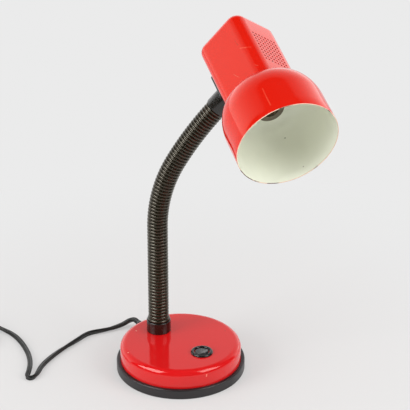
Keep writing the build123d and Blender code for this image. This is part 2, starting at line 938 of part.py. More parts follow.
with BuildPart() as holder_bracket:
    foot_depth = neck_mount_depth + bracket_width / 2
    with BuildSketch(Plane(origin=head_plane.origin, x_dir=head_plane.x_dir, z_dir=-head_plane.y_dir)):
        with BuildLine():
            Polyline(
                (wall_inside, foot_depth),
                (wall_inside, holder_end),
                (wall_inside + bracket_reach, holder_end),
                (wall_inside + bracket_reach, holder_end + bracket_thickness),
                (bracket_inside, holder_end + bracket_thickness),
                (bracket_inside, foot_depth),
                close=True,
            )
        make_face()
    extrude(amount=bracket_width / 2, both=True)
    with BuildSketch(head_offset(holder_end)):
        Circle(stem_radius + stem_clearance)
    extrude(amount=2 * bracket_thickness, mode=Mode.SUBTRACT)
    with BuildSketch(neck_tip):
        Circle(stem_radius + stem_clearance)
    extrude(amount=2 * casing_wall + 2 * bracket_thickness, mode=Mode.SUBTRACT)
finish(holder_bracket, "holder_bracket")

with BuildPart() as holder_nut:
    with BuildSketch(head_offset(holder_end + bracket_thickness)):
        RegularPolygon(nut_across_flats / 2, 6, major_radius=False)
        Circle(stem_radius + thread_clearance, mode=Mode.SUBTRACT)
    extrude(amount=nut_thickness)
finish(holder_nut, "holder_nut")


def in_head(x, y, depth):
    return head_plane.from_local_coords((x, y, depth))


lead_exit = -casing_side / 2 + head_stem_end
nipple_end = holder_end + holder_nipple_length
with BuildPart() as head_leads:
    for side in (-1, 1):
        offset_y = side * lead_pair_offset
        add_wire(
            in_head(lead_exit - 4, offset_y, neck_mount_depth),
            in_head(lead_exit + 8, offset_y, neck_mount_depth),
            in_head(lead_exit + 16, offset_y, neck_mount_depth + 6),
            in_head(0, offset_y, neck_mount_depth + 6),
            in_head(0, offset_y, nipple_end - 4),
        )
finish(head_leads, "head_leads")

# Mains cord: points chosen along the desk, then a coil put away behind the left edge.
cord_level = cord_radius
coil_level = cord_radius + tie_thickness + 2 * plug_lift
coil_start_angle = coil_heading - 90
inner_radius = coil_radius - coil_turns * coil_pitch
total_turns = 2 * coil_turns + 0.5


def coil_point(turns):
    """Centre of the cord after so many turns: in, up one layer, then out again."""
    if turns <= coil_turns:
        radius, height = coil_radius - coil_pitch * turns, 0.0
    elif turns < coil_turns + 0.5:
        share = (turns - coil_turns) / 0.5
        radius = inner_radius - coil_pitch * 0.5 * share * (1 - share)
        height = coil_layer_rise * share * share * (3 - 2 * share)
    else:
        radius = inner_radius + coil_pitch * (turns - coil_turns - 0.5)
        height = coil_layer_rise
    angle = math.radians(coil_start_angle + 360 * turns)
    return Vector(
        coil_x + radius * math.cos(angle),
        coil_y + radius * math.sin(angle),
        coil_level + height,
    )


def coil_direction(turns, step=0.001):
    before, after = max(0.0, turns - step), min(total_turns, turns + step)
    return (coil_point(after) - coil_point(before)).normalized()


def add_biarc(start, start_dir, end, end_dir):
    """Two arcs from one point and direction to another."""
    chord = end - start
    both_dirs = start_dir + end_dir
    spread = 2 * (1 - start_dir.dot(end_dir))
    reach = chord.dot(both_dirs)
    if spread < 1e-9:
        arm = chord.dot(chord) / (2 * reach)
    else:
        arm = (math.sqrt(reach * reach + spread * chord.dot(chord)) - reach) / spread
    first_hand = start + start_dir * arm
    last_hand = end - end_dir * arm
    middle = (first_hand + last_hand) * 0.5
    middle_dir = (last_hand - first_hand).normalized()
    TangentArc(start, middle, tangent=start_dir)
    TangentArc(middle, end, tangent=middle_dir)


coil_start = coil_point(0)
coil_start_dir = coil_direction(0)
coil_stop = coil_point(total_turns)
coil_stop_dir = coil_direction(total_turns)
coil_entry = coil_start - coil_start_dir * coil_lead
plug_level = plug_thickness / 2 + plug_lift
drop_start = coil_stop + coil_stop_dir * coil_lead
drop_end = drop_start + coil_stop_dir * (plug_lead - 2 * coil_lead)
drop_end = Vector(drop_end.X, drop_end.Y, plug_level)
plug_rear = drop_end + coil_stop_dir * coil_lead

with BuildPart() as cord_coil:
    quarters = round(4 * total_turns)
    with BuildLine() as coil_line:
        Line(coil_entry, coil_start)
        for quarter in range(quarters):
            begin, stop = quarter / 4, (quarter + 1) / 4
            add_biarc(
                coil_point(begin), coil_direction(begin), coil_point(stop), coil_direction(stop)
            )
        Line(coil_stop, drop_start)
        add_biarc(drop_start, coil_stop_dir, drop_end, coil_stop_dir)
        Line(drop_end, plug_rear)
    coil_path = coil_line.wires()[0]
    with BuildSketch(Plane(origin=coil_entry, z_dir=coil_start_dir)):
        Circle(cord_radius)
    sweep(path=coil_path)
finish(cord_coil, "cord_coil")

relief_tip = exit_plane.offset(relief_end).origin
cord_points = [
    relief_tip,
    relief_tip + exit_plane.z_dir * 11,
    Vector(14.5, 108.5, 5.2),
    Vector(3, 111.8, 2.8),
    Vector(-10, 113.4, cord_level),
    Vector(-22, 118, cord_level),
    Vector(-33, 119.8, cord_level),
    Vector(-50, 116.8, cord_level),
    Vector(-72, 114, cord_level),
    Vector(-94, 109, cord_level),
    Vector(-114, 101.5, cord_level),
    Vector(-127, 94.6, cord_level),
    Vector(-134.8, 89.6, cord_level),
    Vector(-140.4, 92.2, cord_level),
    Vector(-141.3, 98.4, cord_level),
    Vector(-133, 105.6, cord_level),
    Vector(-118, 119, cord_level),
    Vector(-105.5, 138, cord_level),
    Vector(-97, 157, cord_level),
    Vector(-93, 176, cord_level),
    Vector(-94, 193, cord_level),
    Vector(-96.5, 210, cord_level + 0.3),
    coil_entry - coil_start_dir * 15,
    coil_entry,
]
cord_radii = []
for before, corner, after in zip(cord_points, cord_points[1:], cord_points[2:]):
    half_turn = math.radians((corner - before).get_angle(after - corner)) / 2
    shorter_run = min((corner - before).length, (after - corner).length)
    cord_radii.append(0.45 * shorter_run / math.tan(half_turn))
print("cord radii", [round(radius, 1) for radius in cord_radii])

with BuildPart() as cord:
    with BuildLine() as cord_line:
        FilletPolyline(*cord_points, radius=cord_radii)
    cord_path = cord_line.wires()[0]
    with BuildSketch(Plane(origin=relief_tip, z_dir=exit_plane.z_dir)):
        Circle(cord_radius)
    sweep(path=cord_path)
finish(cord, "cord")
section = math.pi * cord_radius**2
print("cord length", round(cord_path.length, 1), "volume over section x length",
      round(cord.part.volume / section / cord_path.length, 4))
print("coil length", round(coil_path.length, 1), "volume over section x length",
      round(cord_coil.part.volume / section / coil_path.length, 4))

# Least gap of the coil to itself, between points that are over half a turn apart
samples = 700
spacing = coil_path.length / samples
apart = math.ceil(math.pi * inner_radius / spacing)
points = [coil_path @ (number / samples) for number in range(samples + 1)]
least = min(
    (points[first] - points[second]).length
    for first in range(samples + 1)
    for second in range(first + apart, samples + 1)
)
print("least gap in the coil", round(least - 2 * cord_radius, 2))

tie_plane = Plane(
    origin=(coil_x, coil_y, 0),
    x_dir=(
        math.cos(math.radians(coil_start_angle + 180)),
        math.sin(math.radians(coil_start_angle + 180)),
        0,
    ),
    z_dir=(
        math.sin(math.radians(coil_start_angle + 180)),
        -math.cos(math.radians(coil_start_angle + 180)),
        0,
    ),
)
tie_low = plug_lift
tie_high = coil_level + coil_layer_rise + cord_radius + tie_clearance + tie_thickness
tie_near = inner_radius - coil_pitch / 8 - cord_radius - tie_clearance - tie_thickness
tie_far = coil_radius + cord_radius + tie_clearance + tie_thickness
with BuildPart() as cord_tie:
    with BuildSketch(tie_plane):
        with Locations(((tie_near + tie_far) / 2, (tie_low + tie_high) / 2)):
            RectangleRounded(tie_far - tie_near, tie_high - tie_low, tie_corner)
            RectangleRounded(
                tie_far - tie_near - 2 * tie_thickness,
                tie_high - tie_low - 2 * tie_thickness,
                tie_corner - tie_thickness,
                mode=Mode.SUBTRACT,
            )
    extrude(amount=tie_width / 2, both=True)
finish(cord_tie, "cord_tie")

plug_plane = Plane(
    origin=plug_rear, x_dir=(-coil_stop_dir.Y, coil_stop_dir.X, 0), z_dir=coil_stop_dir
)
plug_face = plug_stub_length + plug_length
with BuildPart() as plug:
    with BuildSketch(plug_plane):
        Circle(plug_stub_radius)
    extrude(amount=plug_stub_length)
    with BuildSketch(plug_plane.offset(plug_stub_length)):
        RectangleRounded(plug_neck_width, plug_neck_thickness, plug_neck_thickness / 3)
    with BuildSketch(plug_plane.offset(plug_face - plug_grip_length)):
        RectangleRounded(plug_width, plug_thickness, plug_corner)
    loft(ruled=True)
    with BuildSketch(plug_plane.offset(plug_face - plug_grip_length)):
        RectangleRounded(plug_width, plug_thickness, plug_corner)
    extrude(amount=plug_grip_length)
finish(plug, "plug")

with BuildPart() as plug_pins:
    with BuildSketch(plug_plane.offset(plug_face)):
        with GridLocations(pin_spacing, 0, 2, 1):
            Circle(pin_radius)
    extrude(amount=pin_length)
    fillet(plug_pins.faces().sort_by(Axis(plug_rear, coil_stop_dir))[-2:].edges(), pin_radius / 2)
finish(plug_pins, "plug_pins")
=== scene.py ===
import math

import bmesh
import bpy
from mathutils import Matrix, Vector


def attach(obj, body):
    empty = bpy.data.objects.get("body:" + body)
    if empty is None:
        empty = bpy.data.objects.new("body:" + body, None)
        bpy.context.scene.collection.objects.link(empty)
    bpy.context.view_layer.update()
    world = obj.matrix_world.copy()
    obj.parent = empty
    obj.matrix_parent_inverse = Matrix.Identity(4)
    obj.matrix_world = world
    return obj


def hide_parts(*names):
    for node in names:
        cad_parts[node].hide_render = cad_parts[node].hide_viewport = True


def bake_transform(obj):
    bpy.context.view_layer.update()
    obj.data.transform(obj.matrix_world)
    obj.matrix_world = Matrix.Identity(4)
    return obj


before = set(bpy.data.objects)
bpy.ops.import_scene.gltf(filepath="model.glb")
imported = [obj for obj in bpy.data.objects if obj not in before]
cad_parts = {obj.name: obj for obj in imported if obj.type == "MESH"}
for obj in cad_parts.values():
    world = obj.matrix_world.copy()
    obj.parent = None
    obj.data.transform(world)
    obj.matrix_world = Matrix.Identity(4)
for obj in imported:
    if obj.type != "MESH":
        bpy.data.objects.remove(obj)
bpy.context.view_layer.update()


# The room: white paper sweep, a soft panel on each side of the photographer and a weak one
# above. The enamel's gloss shows a white wall behind the lamp, two tall windows and a dark
# ceiling.
camera_data = bpy.data.cameras.new("camera")
camera_data.sensor_width = 36
camera_data.lens = 159.4
camera_data.clip_end = 50
camera = bpy.data.objects.new("camera", camera_data)
camera.location = (-1.1673, -1.2518, 1.0346)
camera_aim = Vector((0.62254, 0.64713, -0.44004))
camera.rotation_euler = camera_aim.to_track_quat("-Z", "Y").to_euler()
bpy.context.collection.objects.link(camera)
bpy.context.scene.camera = camera
bpy.context.scene.view_settings.view_transform = "Standard"


def link(owner, source, target):
    """Joins two sockets of a node tree, each given as (node, socket name or number)."""
    owner.node_tree.links.new(source[0].outputs[source[1]], target[0].inputs[target[1]])


def add_node(owner, kind, inputs=None, **settings):
    """New node of a material or the world, with its settings and input values."""
    node = owner.node_tree.nodes.new(kind)
    for name, value in settings.items():
        setattr(node, name, value)
    for name, value in (inputs or {}).items():
        node.inputs[name].default_value = value
    return node


def ramp(owner, start, end, low=0.0, high=1.0, kind="LINEAR"):
    """Node that turns the numbers between start and end into those between low and high."""
    ends = {"From Min": start, "From Max": end, "To Min": low, "To Max": high}
    return add_node(owner, "ShaderNodeMapRange", ends, interpolation_type=kind)


def arithmetic(owner, kind, first, second=0):
    """One step of arithmetic between two values, each a number or an output of a node."""
    step = add_node(owner, "ShaderNodeMath", operation=kind)
    for socket, value in zip(step.inputs, (first, second)):
        if isinstance(value, bpy.types.NodeSocket):
            owner.node_tree.links.new(value, socket)
        else:
            socket.default_value = value
    return step.outputs["Value"]


room_strength = 0.68
world = bpy.data.worlds.new("studio")
bpy.context.scene.world = world
world.use_nodes = True
world.node_tree.nodes.clear()
world_out = add_node(world, "ShaderNodeOutputWorld")
seen_white = add_node(world, "ShaderNodeBackground", {"Color": (0.84, 0.84, 0.84, 1)})
room_light = add_node(
    world, "ShaderNodeBackground", {"Color": (1.0, 1.0, 1.0, 1), "Strength": room_strength}
)
gloss_light = add_node(world, "ShaderNodeBackground")
direction = add_node(world, "ShaderNodeTexCoord")


def toward(azimuth, height):
    """How far a ray's direction agrees with a direction of the room."""
    turn, lift = math.radians(azimuth), math.radians(height)
    way = (
        math.cos(turn) * math.cos(lift),
        math.sin(turn) * math.cos(lift),
        math.sin(lift),
    )
    agree = add_node(world, "ShaderNodeVectorMath", {1: way}, operation="DOT_PRODUCT")
    link(world, (direction, "Generated"), (agree, 0))
    return agree.outputs["Value"]


ray_height = toward(0, 90)


def edge_of_light(value, dark, bright, strength=1.0):
    """Soft edge of a lit surface, from nothing at one value to full at another."""
    rise = ramp(world, dark, bright, high=strength, kind="SMOOTHSTEP")
    world.node_tree.links.new(value, rise.inputs["Value"])
    return rise.outputs["Result"]


def upright_light(azimuth, half_width, top, strength, foot=-2.0):
    """Upright pale face of the room: a wall, or a soft window with a foot."""
    blur, foot_blur = 0.04, 0.03
    turn = arithmetic(world, "ARCTAN2", toward(azimuth + 90, 0), toward(azimuth, 0))
    side = arithmetic(world, "ABSOLUTE", turn)
    edge = math.radians(half_width)
    shape = arithmetic(
        world,
        "MULTIPLY",
        edge_of_light(side, edge + blur, edge - blur, strength),
        edge_of_light(ray_height, top + blur, top - blur),
    )
    above_foot = edge_of_light(ray_height, foot - foot_blur, foot + foot_blur)
    return arithmetic(world, "MULTIPLY", shape, above_foot)


wall_glow, glow_lost_above = 2.15, 2.25
wall_fall = arithmetic(
    world, "SUBTRACT", wall_glow, arithmetic(world, "MULTIPLY", ray_height, glow_lost_above)
)
pale_wall = upright_light(55, 71, top=0.80, strength=1.0)
white_wall = arithmetic(world, "MULTIPLY", pale_wall, wall_fall)
left_window = upright_light(162, 25, top=0.88, strength=9.3, foot=0.44)
right_window = upright_light(-72, 20, top=0.86, strength=7.3, foot=0.46)
windows = arithmetic(world, "ADD", left_window, right_window)
gloss_level = arithmetic(world, "ADD", white_wall, windows)
path = add_node(world, "ShaderNodeLightPath")
gloss_or_room = add_node(world, "ShaderNodeMixShader")
seen_or_lit = add_node(world, "ShaderNodeMixShader")
world.node_tree.links.new(gloss_level, gloss_light.inputs["Strength"])
link(world, (path, "Is Glossy Ray"), (gloss_or_room, "Fac"))
link(world, (room_light, 0), (gloss_or_room, 1))
link(world, (gloss_light, 0), (gloss_or_room, 2))
link(world, (path, "Is Camera Ray"), (seen_or_lit, "Fac"))
link(world, (gloss_or_room, 0), (seen_or_lit, 1))
link(world, (seen_white, 0), (seen_or_lit, 2))
link(world, (seen_or_lit, 0), (world_out, "Surface"))


def soft_panel(name, place, aim, size, power):
    """Square light panel on a stand, turned to a point, which the gloss doesn't show."""
    panel = bpy.data.lights.new(name, "AREA")
    panel.size = size
    panel.energy = power
    stand = bpy.data.objects.new(name, panel)
    stand.location = place
    stand.rotation_euler = (Vector(aim) - Vector(place)).to_track_quat("-Z", "Y").to_euler()
    stand.visible_camera = False
    stand.visible_glossy = False
    bpy.context.collection.objects.link(stand)


soft_panel("panel_left", (-1.60, 0.55, 0.80), (0, 0, 0.2), 1.0, 23)
soft_panel("panel_right", (0.65, -1.60, 1.00), (0, 0, 0.25), 1.2, 21)
soft_panel("panel_above", (0.50, -0.35, 1.60), (0, 0, 0.2), 1.2, 5)


def surface(name, colour, roughness, metallic=0.0):
    """Material with one shader, ready for the nodes that vary it."""
    material = bpy.data.materials.new(name)
    material.use_nodes = True
    shader = material.node_tree.nodes["Principled BSDF"]
    shader.inputs["Base Color"].default_value = (*colour, 1)
    shader.inputs["Roughness"].default_value = roughness
    shader.inputs["Metallic"].default_value = metallic
    return material, shader


sweep_shape = bmesh.new()
bmesh.ops.create_grid(sweep_shape, x_segments=1, y_segments=1, size=6)
sweep_mesh = bpy.data.meshes.new("sweep")
sweep_shape.to_mesh(sweep_mesh)
sweep_shape.free()
sweep = bpy.data.objects.new("sweep", sweep_mesh)
bpy.context.collection.objects.link(sweep)
paper, paper_shader = surface("paper", (0.80, 0.80, 0.80), 0.9)
paper_shader.inputs["Specular IOR Level"].default_value = 0.1
paper_out = paper.node_tree.nodes["Material Output"]
paper_path = add_node(paper, "ShaderNodeLightPath")
paper_tone = add_node(
    paper,
    "ShaderNodeMix",
    {"A": (0.80, 0.80, 0.80, 1), "B": (0.62, 0.605, 0.598, 1)},
    data_type="RGBA",
)
far_paper = add_node(paper, "ShaderNodeEmission", {"Color": (0.83, 0.83, 0.83, 1)})
paper_place = add_node(paper, "ShaderNodeTexCoord")
away = add_node(paper, "ShaderNodeVectorMath", operation="LENGTH")
fade_out = ramp(paper, 0.08, 0.50, low=0.40, kind="SMOOTHSTEP")
paper_mix = add_node(paper, "ShaderNodeMixShader")
paper_seen = arithmetic(
    paper, "MAXIMUM", paper_path.outputs["Is Camera Ray"], paper_path.outputs["Is Glossy Ray"]
)
far_share = arithmetic(paper, "MULTIPLY", paper_seen, fade_out.outputs["Result"])
paper.node_tree.links.new(far_share, paper_mix.inputs["Fac"])
link(paper, (paper_path, "Is Camera Ray"), (paper_tone, "Factor"))
link(paper, (paper_tone, "Result"), (paper_shader, "Base Color"))
link(paper, (paper_place, "Object"), (away, "Vector"))
link(paper, (away, "Value"), (fade_out, "Value"))
link(paper, (paper_shader, 0), (paper_mix, 1))
link(paper, (far_paper, 0), (paper_mix, 2))
link(paper, (paper_mix, 0), (paper_out, "Surface"))
sweep_mesh.materials.append(paper)


# The mains cord: flat twin flex, black PVC, 5.2 mm wide. It leaves the back of the base,
# runs over the desk with one sharp fold, and the rest is wound up and tied with its plug.
cord_exit = Vector((0.019128, 0.089990, 0.009))
cord_out = Vector((0.207912, 0.978148, 0))
coil_centre = Vector((-0.1447, 0.2143))
coil_heading = 137
coil_radius = 0.038
coil_turns = 3.25
coil_pitch = 0.0058
coil_level = 0.0035
coil_points_per_turn = 16
climb_turns = 0.5
on_edge = 1.57
plug_level = 0.0069


def coil_place(turns):
    """A point of the cord after so many turns: inwards, up one layer, outwards again."""
    inner = coil_radius - coil_turns * coil_pitch
    if turns <= coil_turns:
        radius, height = coil_radius - coil_pitch * turns, 0
    elif turns < coil_turns + climb_turns:
        share = (turns - coil_turns) / climb_turns
        radius = inner - coil_pitch * 0.5 * share * (1 - share)
        height = coil_pitch * share * share * (3 - 2 * share)
    else:
        radius, height = inner + coil_pitch * (turns - coil_turns - climb_turns), coil_pitch
    angle = math.radians(coil_heading - 90 + 360 * turns)
    return Vector(
        (
            coil_centre.x + radius * math.cos(angle),
            coil_centre.y + radius * math.sin(angle),
            coil_level + height,
        )
    )


total_turns = 2 * coil_turns + climb_turns
coil_ahead = (coil_place(0.001) - coil_place(0)).normalized()
coil_leave = (coil_place(total_turns) - coil_place(total_turns - 0.001)).normalized()
cord_route = [
    (cord_exit, 0),
    (Vector((0.0201, 0.0944, 0.0090)), 0.0),
    (Vector((0.0214, 0.1000, 0.0087)), 0.0),
    (Vector((0.0168, 0.1038, 0.0072)), 0.1),
    (Vector((0.0100, 0.1050, 0.0050)), 0.2),
    (Vector((0.0010, 0.1076, 0.0036)), 0.3),
    (Vector((-0.0080, 0.1105, 0.0030)), 0.6),
    (Vector((-0.0190, 0.1153, 0.0026)), 1.0),
    (Vector((-0.0265, 0.1185, 0.0026)), 1.3),
    (Vector((-0.0350, 0.1196, 0.0026)), 1.5),
    (Vector((-0.0500, 0.1168, 0.0026)), 1.3),
    (Vector((-0.0720, 0.1140, 0.0026)), 0.6),
    (Vector((-0.0940, 0.1090, 0.0026)), 0.3),
    (Vector((-0.1140, 0.1015, 0.0026)), 0.3),
    (Vector((-0.1262, 0.0926, 0.0026)), 0.6),
    (Vector((-0.1350, 0.0885, 0.0026)), 1.2),
    (Vector((-0.1397, 0.0906, 0.0026)), 1.5),
    (Vector((-0.1394, 0.0956, 0.0026)), 1.5),
    (Vector((-0.1310, 0.1020, 0.0026)), 1.2),
    (Vector((-0.1175, 0.1155, 0.0026)), 0.8),
    (Vector((-0.1060, 0.1340, 0.0026)), 0.5),
    (Vector((-0.0970, 0.1570, 0.0026)), 0.3),
    (Vector((-0.0930, 0.1760, 0.0026)), 0.3),
    (Vector((-0.0940, 0.1930, 0.0026)), 0.6),
    (Vector((-0.0965, 0.2100, 0.0029)), 1.2),
    (coil_place(0) - 0.021 * coil_ahead, on_edge),
    (coil_place(0) - 0.006 * coil_ahead, on_edge),
]
for step in range(round(total_turns * coil_points_per_turn) + 1):
    cord_route.append((coil_place(step / coil_points_per_turn), on_edge))
coil_end = coil_place(total_turns)
for reach, drop in ((0.008, 0), (0.016, 0.3), (0.023, 0.8), (0.029, 1), (0.034, 1)):
    place = coil_end + reach * coil_leave
    place.z += drop * (plug_level - coil_end.z)
    cord_route.append((place, on_edge))
plug_rear = cord_route[-1][0]

flex_profile = bpy.data.curves.new("flex_profile", "CURVE")
flex_profile.dimensions = "2D"
flex_outline = flex_profile.splines.new("NURBS")
flex_outline.points.add(11)
for point, (x, y) in zip(
    flex_outline.points,
    (
        (2.85, 0.0),
        (2.75, 1.55),
        (1.55, 2.20),
        (0.60, 1.75),
        (-0.60, 1.75),
        (-1.55, 2.20),
        (-2.75, 1.55),
        (-2.85, 0.0),
        (-2.75, -1.55),
        (-1.55, -2.20),
        (0.0, -1.35),
        (1.55, -2.20),
    ),
):
    point.co = (x / 1000, y / 1000, 0, 1)
flex_outline.use_cyclic_u = True
flex_outline.order_u = 3
flex_profile.resolution_u = 3
flex_shape = bpy.data.objects.new("flex_profile", flex_profile)
bpy.context.collection.objects.link(flex_shape)
flex_shape.hide_render = True
flex_shape.hide_viewport = True

cord_curve = bpy.data.curves.new("mains_cord", "CURVE")
cord_curve.dimensions = "3D"
cord_curve.twist_mode = "Z_UP"
cord_curve.bevel_mode = "OBJECT"
cord_curve.bevel_object = flex_shape
cord_curve.use_fill_caps = True
cord_curve.resolution_u = 6
flex_line = cord_curve.splines.new("NURBS")
flex_line.points.add(len(cord_route) - 1)
for point, (place, tilt) in zip(flex_line.points, cord_route):
    point.co = (*place, 1)
    point.tilt = tilt
flex_line.order_u = 3
flex_line.use_endpoint_u = True
mains_cord = bpy.data.objects.new("mains_cord", cord_curve)
bpy.context.collection.objects.link(mains_cord)


def vary(material, shader, scale, low, high, bump=0.0, bump_scale=None):
    """Uneven gloss from noise, and a faint relief where bump is given."""
    place = add_node(material, "ShaderNodeTexCoord")
    patches = add_node(material, "ShaderNodeTexNoise", {"Scale": scale, "Detail": 3})
    spread = ramp(material, 0.3, 0.7, low, high)
    link(material, (place, "Object"), (patches, "Vector"))
    link(material, (patches, "Fac"), (spread, "Value"))
    link(material, (spread, "Result"), (shader, "Roughness"))
    if bump:
        grain = add_node(material, "ShaderNodeTexNoise", {"Scale": bump_scale, "Detail": 2})
        relief = add_node(material, "ShaderNodeBump", {"Strength": bump, "Distance": 0.0002})
        link(material, (place, "Object"), (grain, "Vector"))
        link(material, (grain, "Fac"), (relief, "Height"))
        link(material, (relief, "Normal"), (shader, "Normal"))


flex_pvc, flex_shader = surface("flex_pvc", (0.005, 0.005, 0.004), 0.42)
vary(flex_pvc, flex_shader, 90, 0.34, 0.55, 0.25, 900)
cord_curve.materials.append(flex_pvc)
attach(mains_cord, "base")
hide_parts("cord", "cord_coil")


# The plug: flat two-pin mains plug, moulded onto the flex in one shot of black PVC, wide
# at its face and tapered towards the cord. The tie is a plain black strap round the coil.
plug_width = 35.3
plug_thickness = 13.7
plug_shoulder, plug_face = 34, 48
plug_place = Matrix.Translation(plug_rear) @ Matrix(
    (
        (-coil_leave.y, 0, coil_leave.x, 0),
        (coil_leave.x, 0, coil_leave.y, 0),
        (0, 1, 0, 0),
        (0, 0, 0, 1),
    )
)


def finish_piece(name, shape, *materials, sharp=35, flat=False):
    """Object from a finished bmesh, with smooth faces, crisp corners and true flats."""
    bmesh.ops.remove_doubles(shape, verts=shape.verts, dist=1e-6)
    bmesh.ops.recalc_face_normals(shape, faces=shape.faces)
    mesh = bpy.data.meshes.new(name)
    shape.to_mesh(mesh)
    shape.free()
    piece = bpy.data.objects.new(name, mesh)
    bpy.context.collection.objects.link(piece)
    for material in materials:
        mesh.materials.append(material)
    mesh.shade_smooth()
    mesh.set_sharp_from_angle(angle=math.radians(sharp))
    if flat:
        level = piece.modifiers.new("level", "WEIGHTED_NORMAL")
        level.keep_sharp = True
    return piece


def carry(piece, body, slot, *nodes):
    """Rides a piece on its CAD body, in the place of CAD nodes."""
    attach(piece, body)
    if nodes:
        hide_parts(*nodes)


def block(low, high):
    """Box between two corners in mm, to be rounded and cut."""
    shape = bmesh.new()
    made = bmesh.ops.create_cube(shape, size=1)
    low, high = Vector(low) / 1000, Vector(high) / 1000
    bmesh.ops.scale(shape, vec=high - low, verts=made["verts"])
    bmesh.ops.translate(shape, vec=(low + high) / 2, verts=made["verts"])
    return shape


def bevel_edges(shape, edges, size, segments):
    """Rounds a set of edges by a radius in mm."""
    bmesh.ops.bevel(
        shape,
        geom=list(edges),
        offset=size / 1000,
        offset_type="OFFSET",
        affect="EDGES",
        segments=segments,
        profile=0.5,
        material=-1,
        clamp_overlap=True,
    )


half_width, half_thick = plug_width / 2, plug_thickness / 2
plug_shape = block(
    (-half_width, -half_thick, plug_shoulder), (half_width, half_thick, plug_face)
)
rear = [face for face in plug_shape.faces if face.normal.z < -0.9]
for level, wide, thick in ((20, 0.52, 0.80), (12, 0.37, 0.73), (11, 0.24, 0.60), (0, 0.22, 0.58)):
    grown = bmesh.ops.extrude_face_region(plug_shape, geom=rear)["geom"]
    bmesh.ops.delete(plug_shape, geom=rear, context="FACES_ONLY")
    rear = [item for item in grown if isinstance(item, bmesh.types.BMFace)]
    for vertex in rear[0].verts:
        vertex.co = (
            math.copysign(half_width * wide / 1000, vertex.co.x),
            math.copysign(half_thick * thick / 1000, vertex.co.y),
            level / 1000,
        )
long_edges = [
    edge
    for edge in plug_shape.edges
    if abs(edge.verts[0].co.z - edge.verts[1].co.z) > 0.0005
]
bevel_edges(plug_shape, long_edges, 3.4, 6)
near_face = (plug_face - 0.1) / 1000
face_rim = [
    edge for edge in plug_shape.edges if all(vertex.co.z > near_face for vertex in edge.verts)
]
bevel_edges(plug_shape, face_rim, 0.9, 3)
bmesh.ops.transform(plug_shape, matrix=plug_place, verts=plug_shape.verts)
plug_pvc, plug_shader = surface("plug_pvc", (0.020, 0.020, 0.020), 0.5)
vary(plug_pvc, plug_shader, 60, 0.42, 0.62, 0.35, 1400)
plug_body = finish_piece("plug_body", plug_shape, plug_pvc, flat=True)
carry(plug_body, "base", "plug_plastic", "plug")

pin_nickel, pin_shader = surface("pin_nickel", (0.72, 0.72, 0.70), 0.2, 1.0)
vary(pin_nickel, pin_shader, 200, 0.16, 0.34)
tie_strap, tie_shader = surface("tie_strap", (0.025, 0.025, 0.026), 0.5)
vary(tie_strap, tie_shader, 300, 0.4, 0.6, 0.3, 2500)


def paint_node(material, *nodes):
    """Gives CAD nodes that stay a better material."""
    for name in nodes:
        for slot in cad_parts[name].material_slots:
            slot.material = material


paint_node(pin_nickel, "plug_pins")
paint_node(tie_strap, "cord_tie")


# The base ring: soft black plastic moulding, gripped over the foot of the cover.
# The lamp stands on it and on the felt pad inside it.
def bevel_corners(shape, corners, size, segments):
    """Rounds the corners of an outline or a face by a radius in mm."""
    bmesh.ops.bevel(
        shape,
        geom=corners,
        offset=size / 1000,
        offset_type="OFFSET",
        affect="VERTICES",
        segments=segments,
        profile=0.5,
        material=-1,
    )


def turned(profile, place=Matrix(), rounds=(), steps=120):
    """Lathe work: (radius, height) points in mm spun round Z, rounds = (point, size)."""
    shape = bmesh.new()
    corners = [shape.verts.new((r / 1000, 0, z / 1000)) for r, z in profile]
    for first, second in zip(corners, corners[1:] + corners[:1]):
        if first.co.x > 0 or second.co.x > 0:
            shape.edges.new((first, second))
    for corner, size in [(corners[number], size) for number, size in rounds]:
        bevel_corners(shape, [corner], size, 6)
    bmesh.ops.spin(
        shape,
        geom=list(shape.verts) + list(shape.edges),
        cent=(0, 0, 0),
        axis=(0, 0, 1),
        angle=2 * math.pi,
        steps=steps,
        use_merge=True,
    )
    bmesh.ops.transform(shape, matrix=place, verts=shape.verts)
    return shape


ring_inside, ring_grip, ring_outside = 60, 66.05, 70
cover_foot, ring_top = 2, 10.9
ring_shape = turned(
    (
        (ring_inside, 0),
        (ring_outside, 0),
        (ring_outside, ring_top),
        (ring_grip, ring_top),
        (ring_grip, cover_foot),
        (ring_inside, cover_foot),
    ),
    rounds=((1, 0.6), (2, 1.6), (3, 0.4)),
    steps=144,
)
ring_plastic, ring_shader = surface("ring_plastic", (0.012, 0.010, 0.011), 0.38)
vary(ring_plastic, ring_shader, 25, 0.32, 0.50, 0.3, 700)
base_skirt = finish_piece("base_skirt", ring_shape, ring_plastic, flat=True)
carry(base_skirt, "base", "ring_rubber", "base_ring")

felt, felt_shader = surface("felt", (0.045, 0.06, 0.045), 1.0)
vary(felt, felt_shader, 40, 0.92, 1.0, 0.8, 1800)
paint_node(felt, "base_pad")
zinc, zinc_shader = surface("zinc", (0.55, 0.55, 0.53), 0.35, 1.0)
vary(zinc, zinc_shader, 120, 0.26, 0.46)
paint_node(zinc, "bottom_plate", "plate_screws")
cast_iron, iron_shader = surface("cast_iron", (0.06, 0.06, 0.058), 0.8, 0.3)
vary(cast_iron, iron_shader, 90, 0.6, 0.9, 0.8, 700)
paint_node(cast_iron, "ballast")


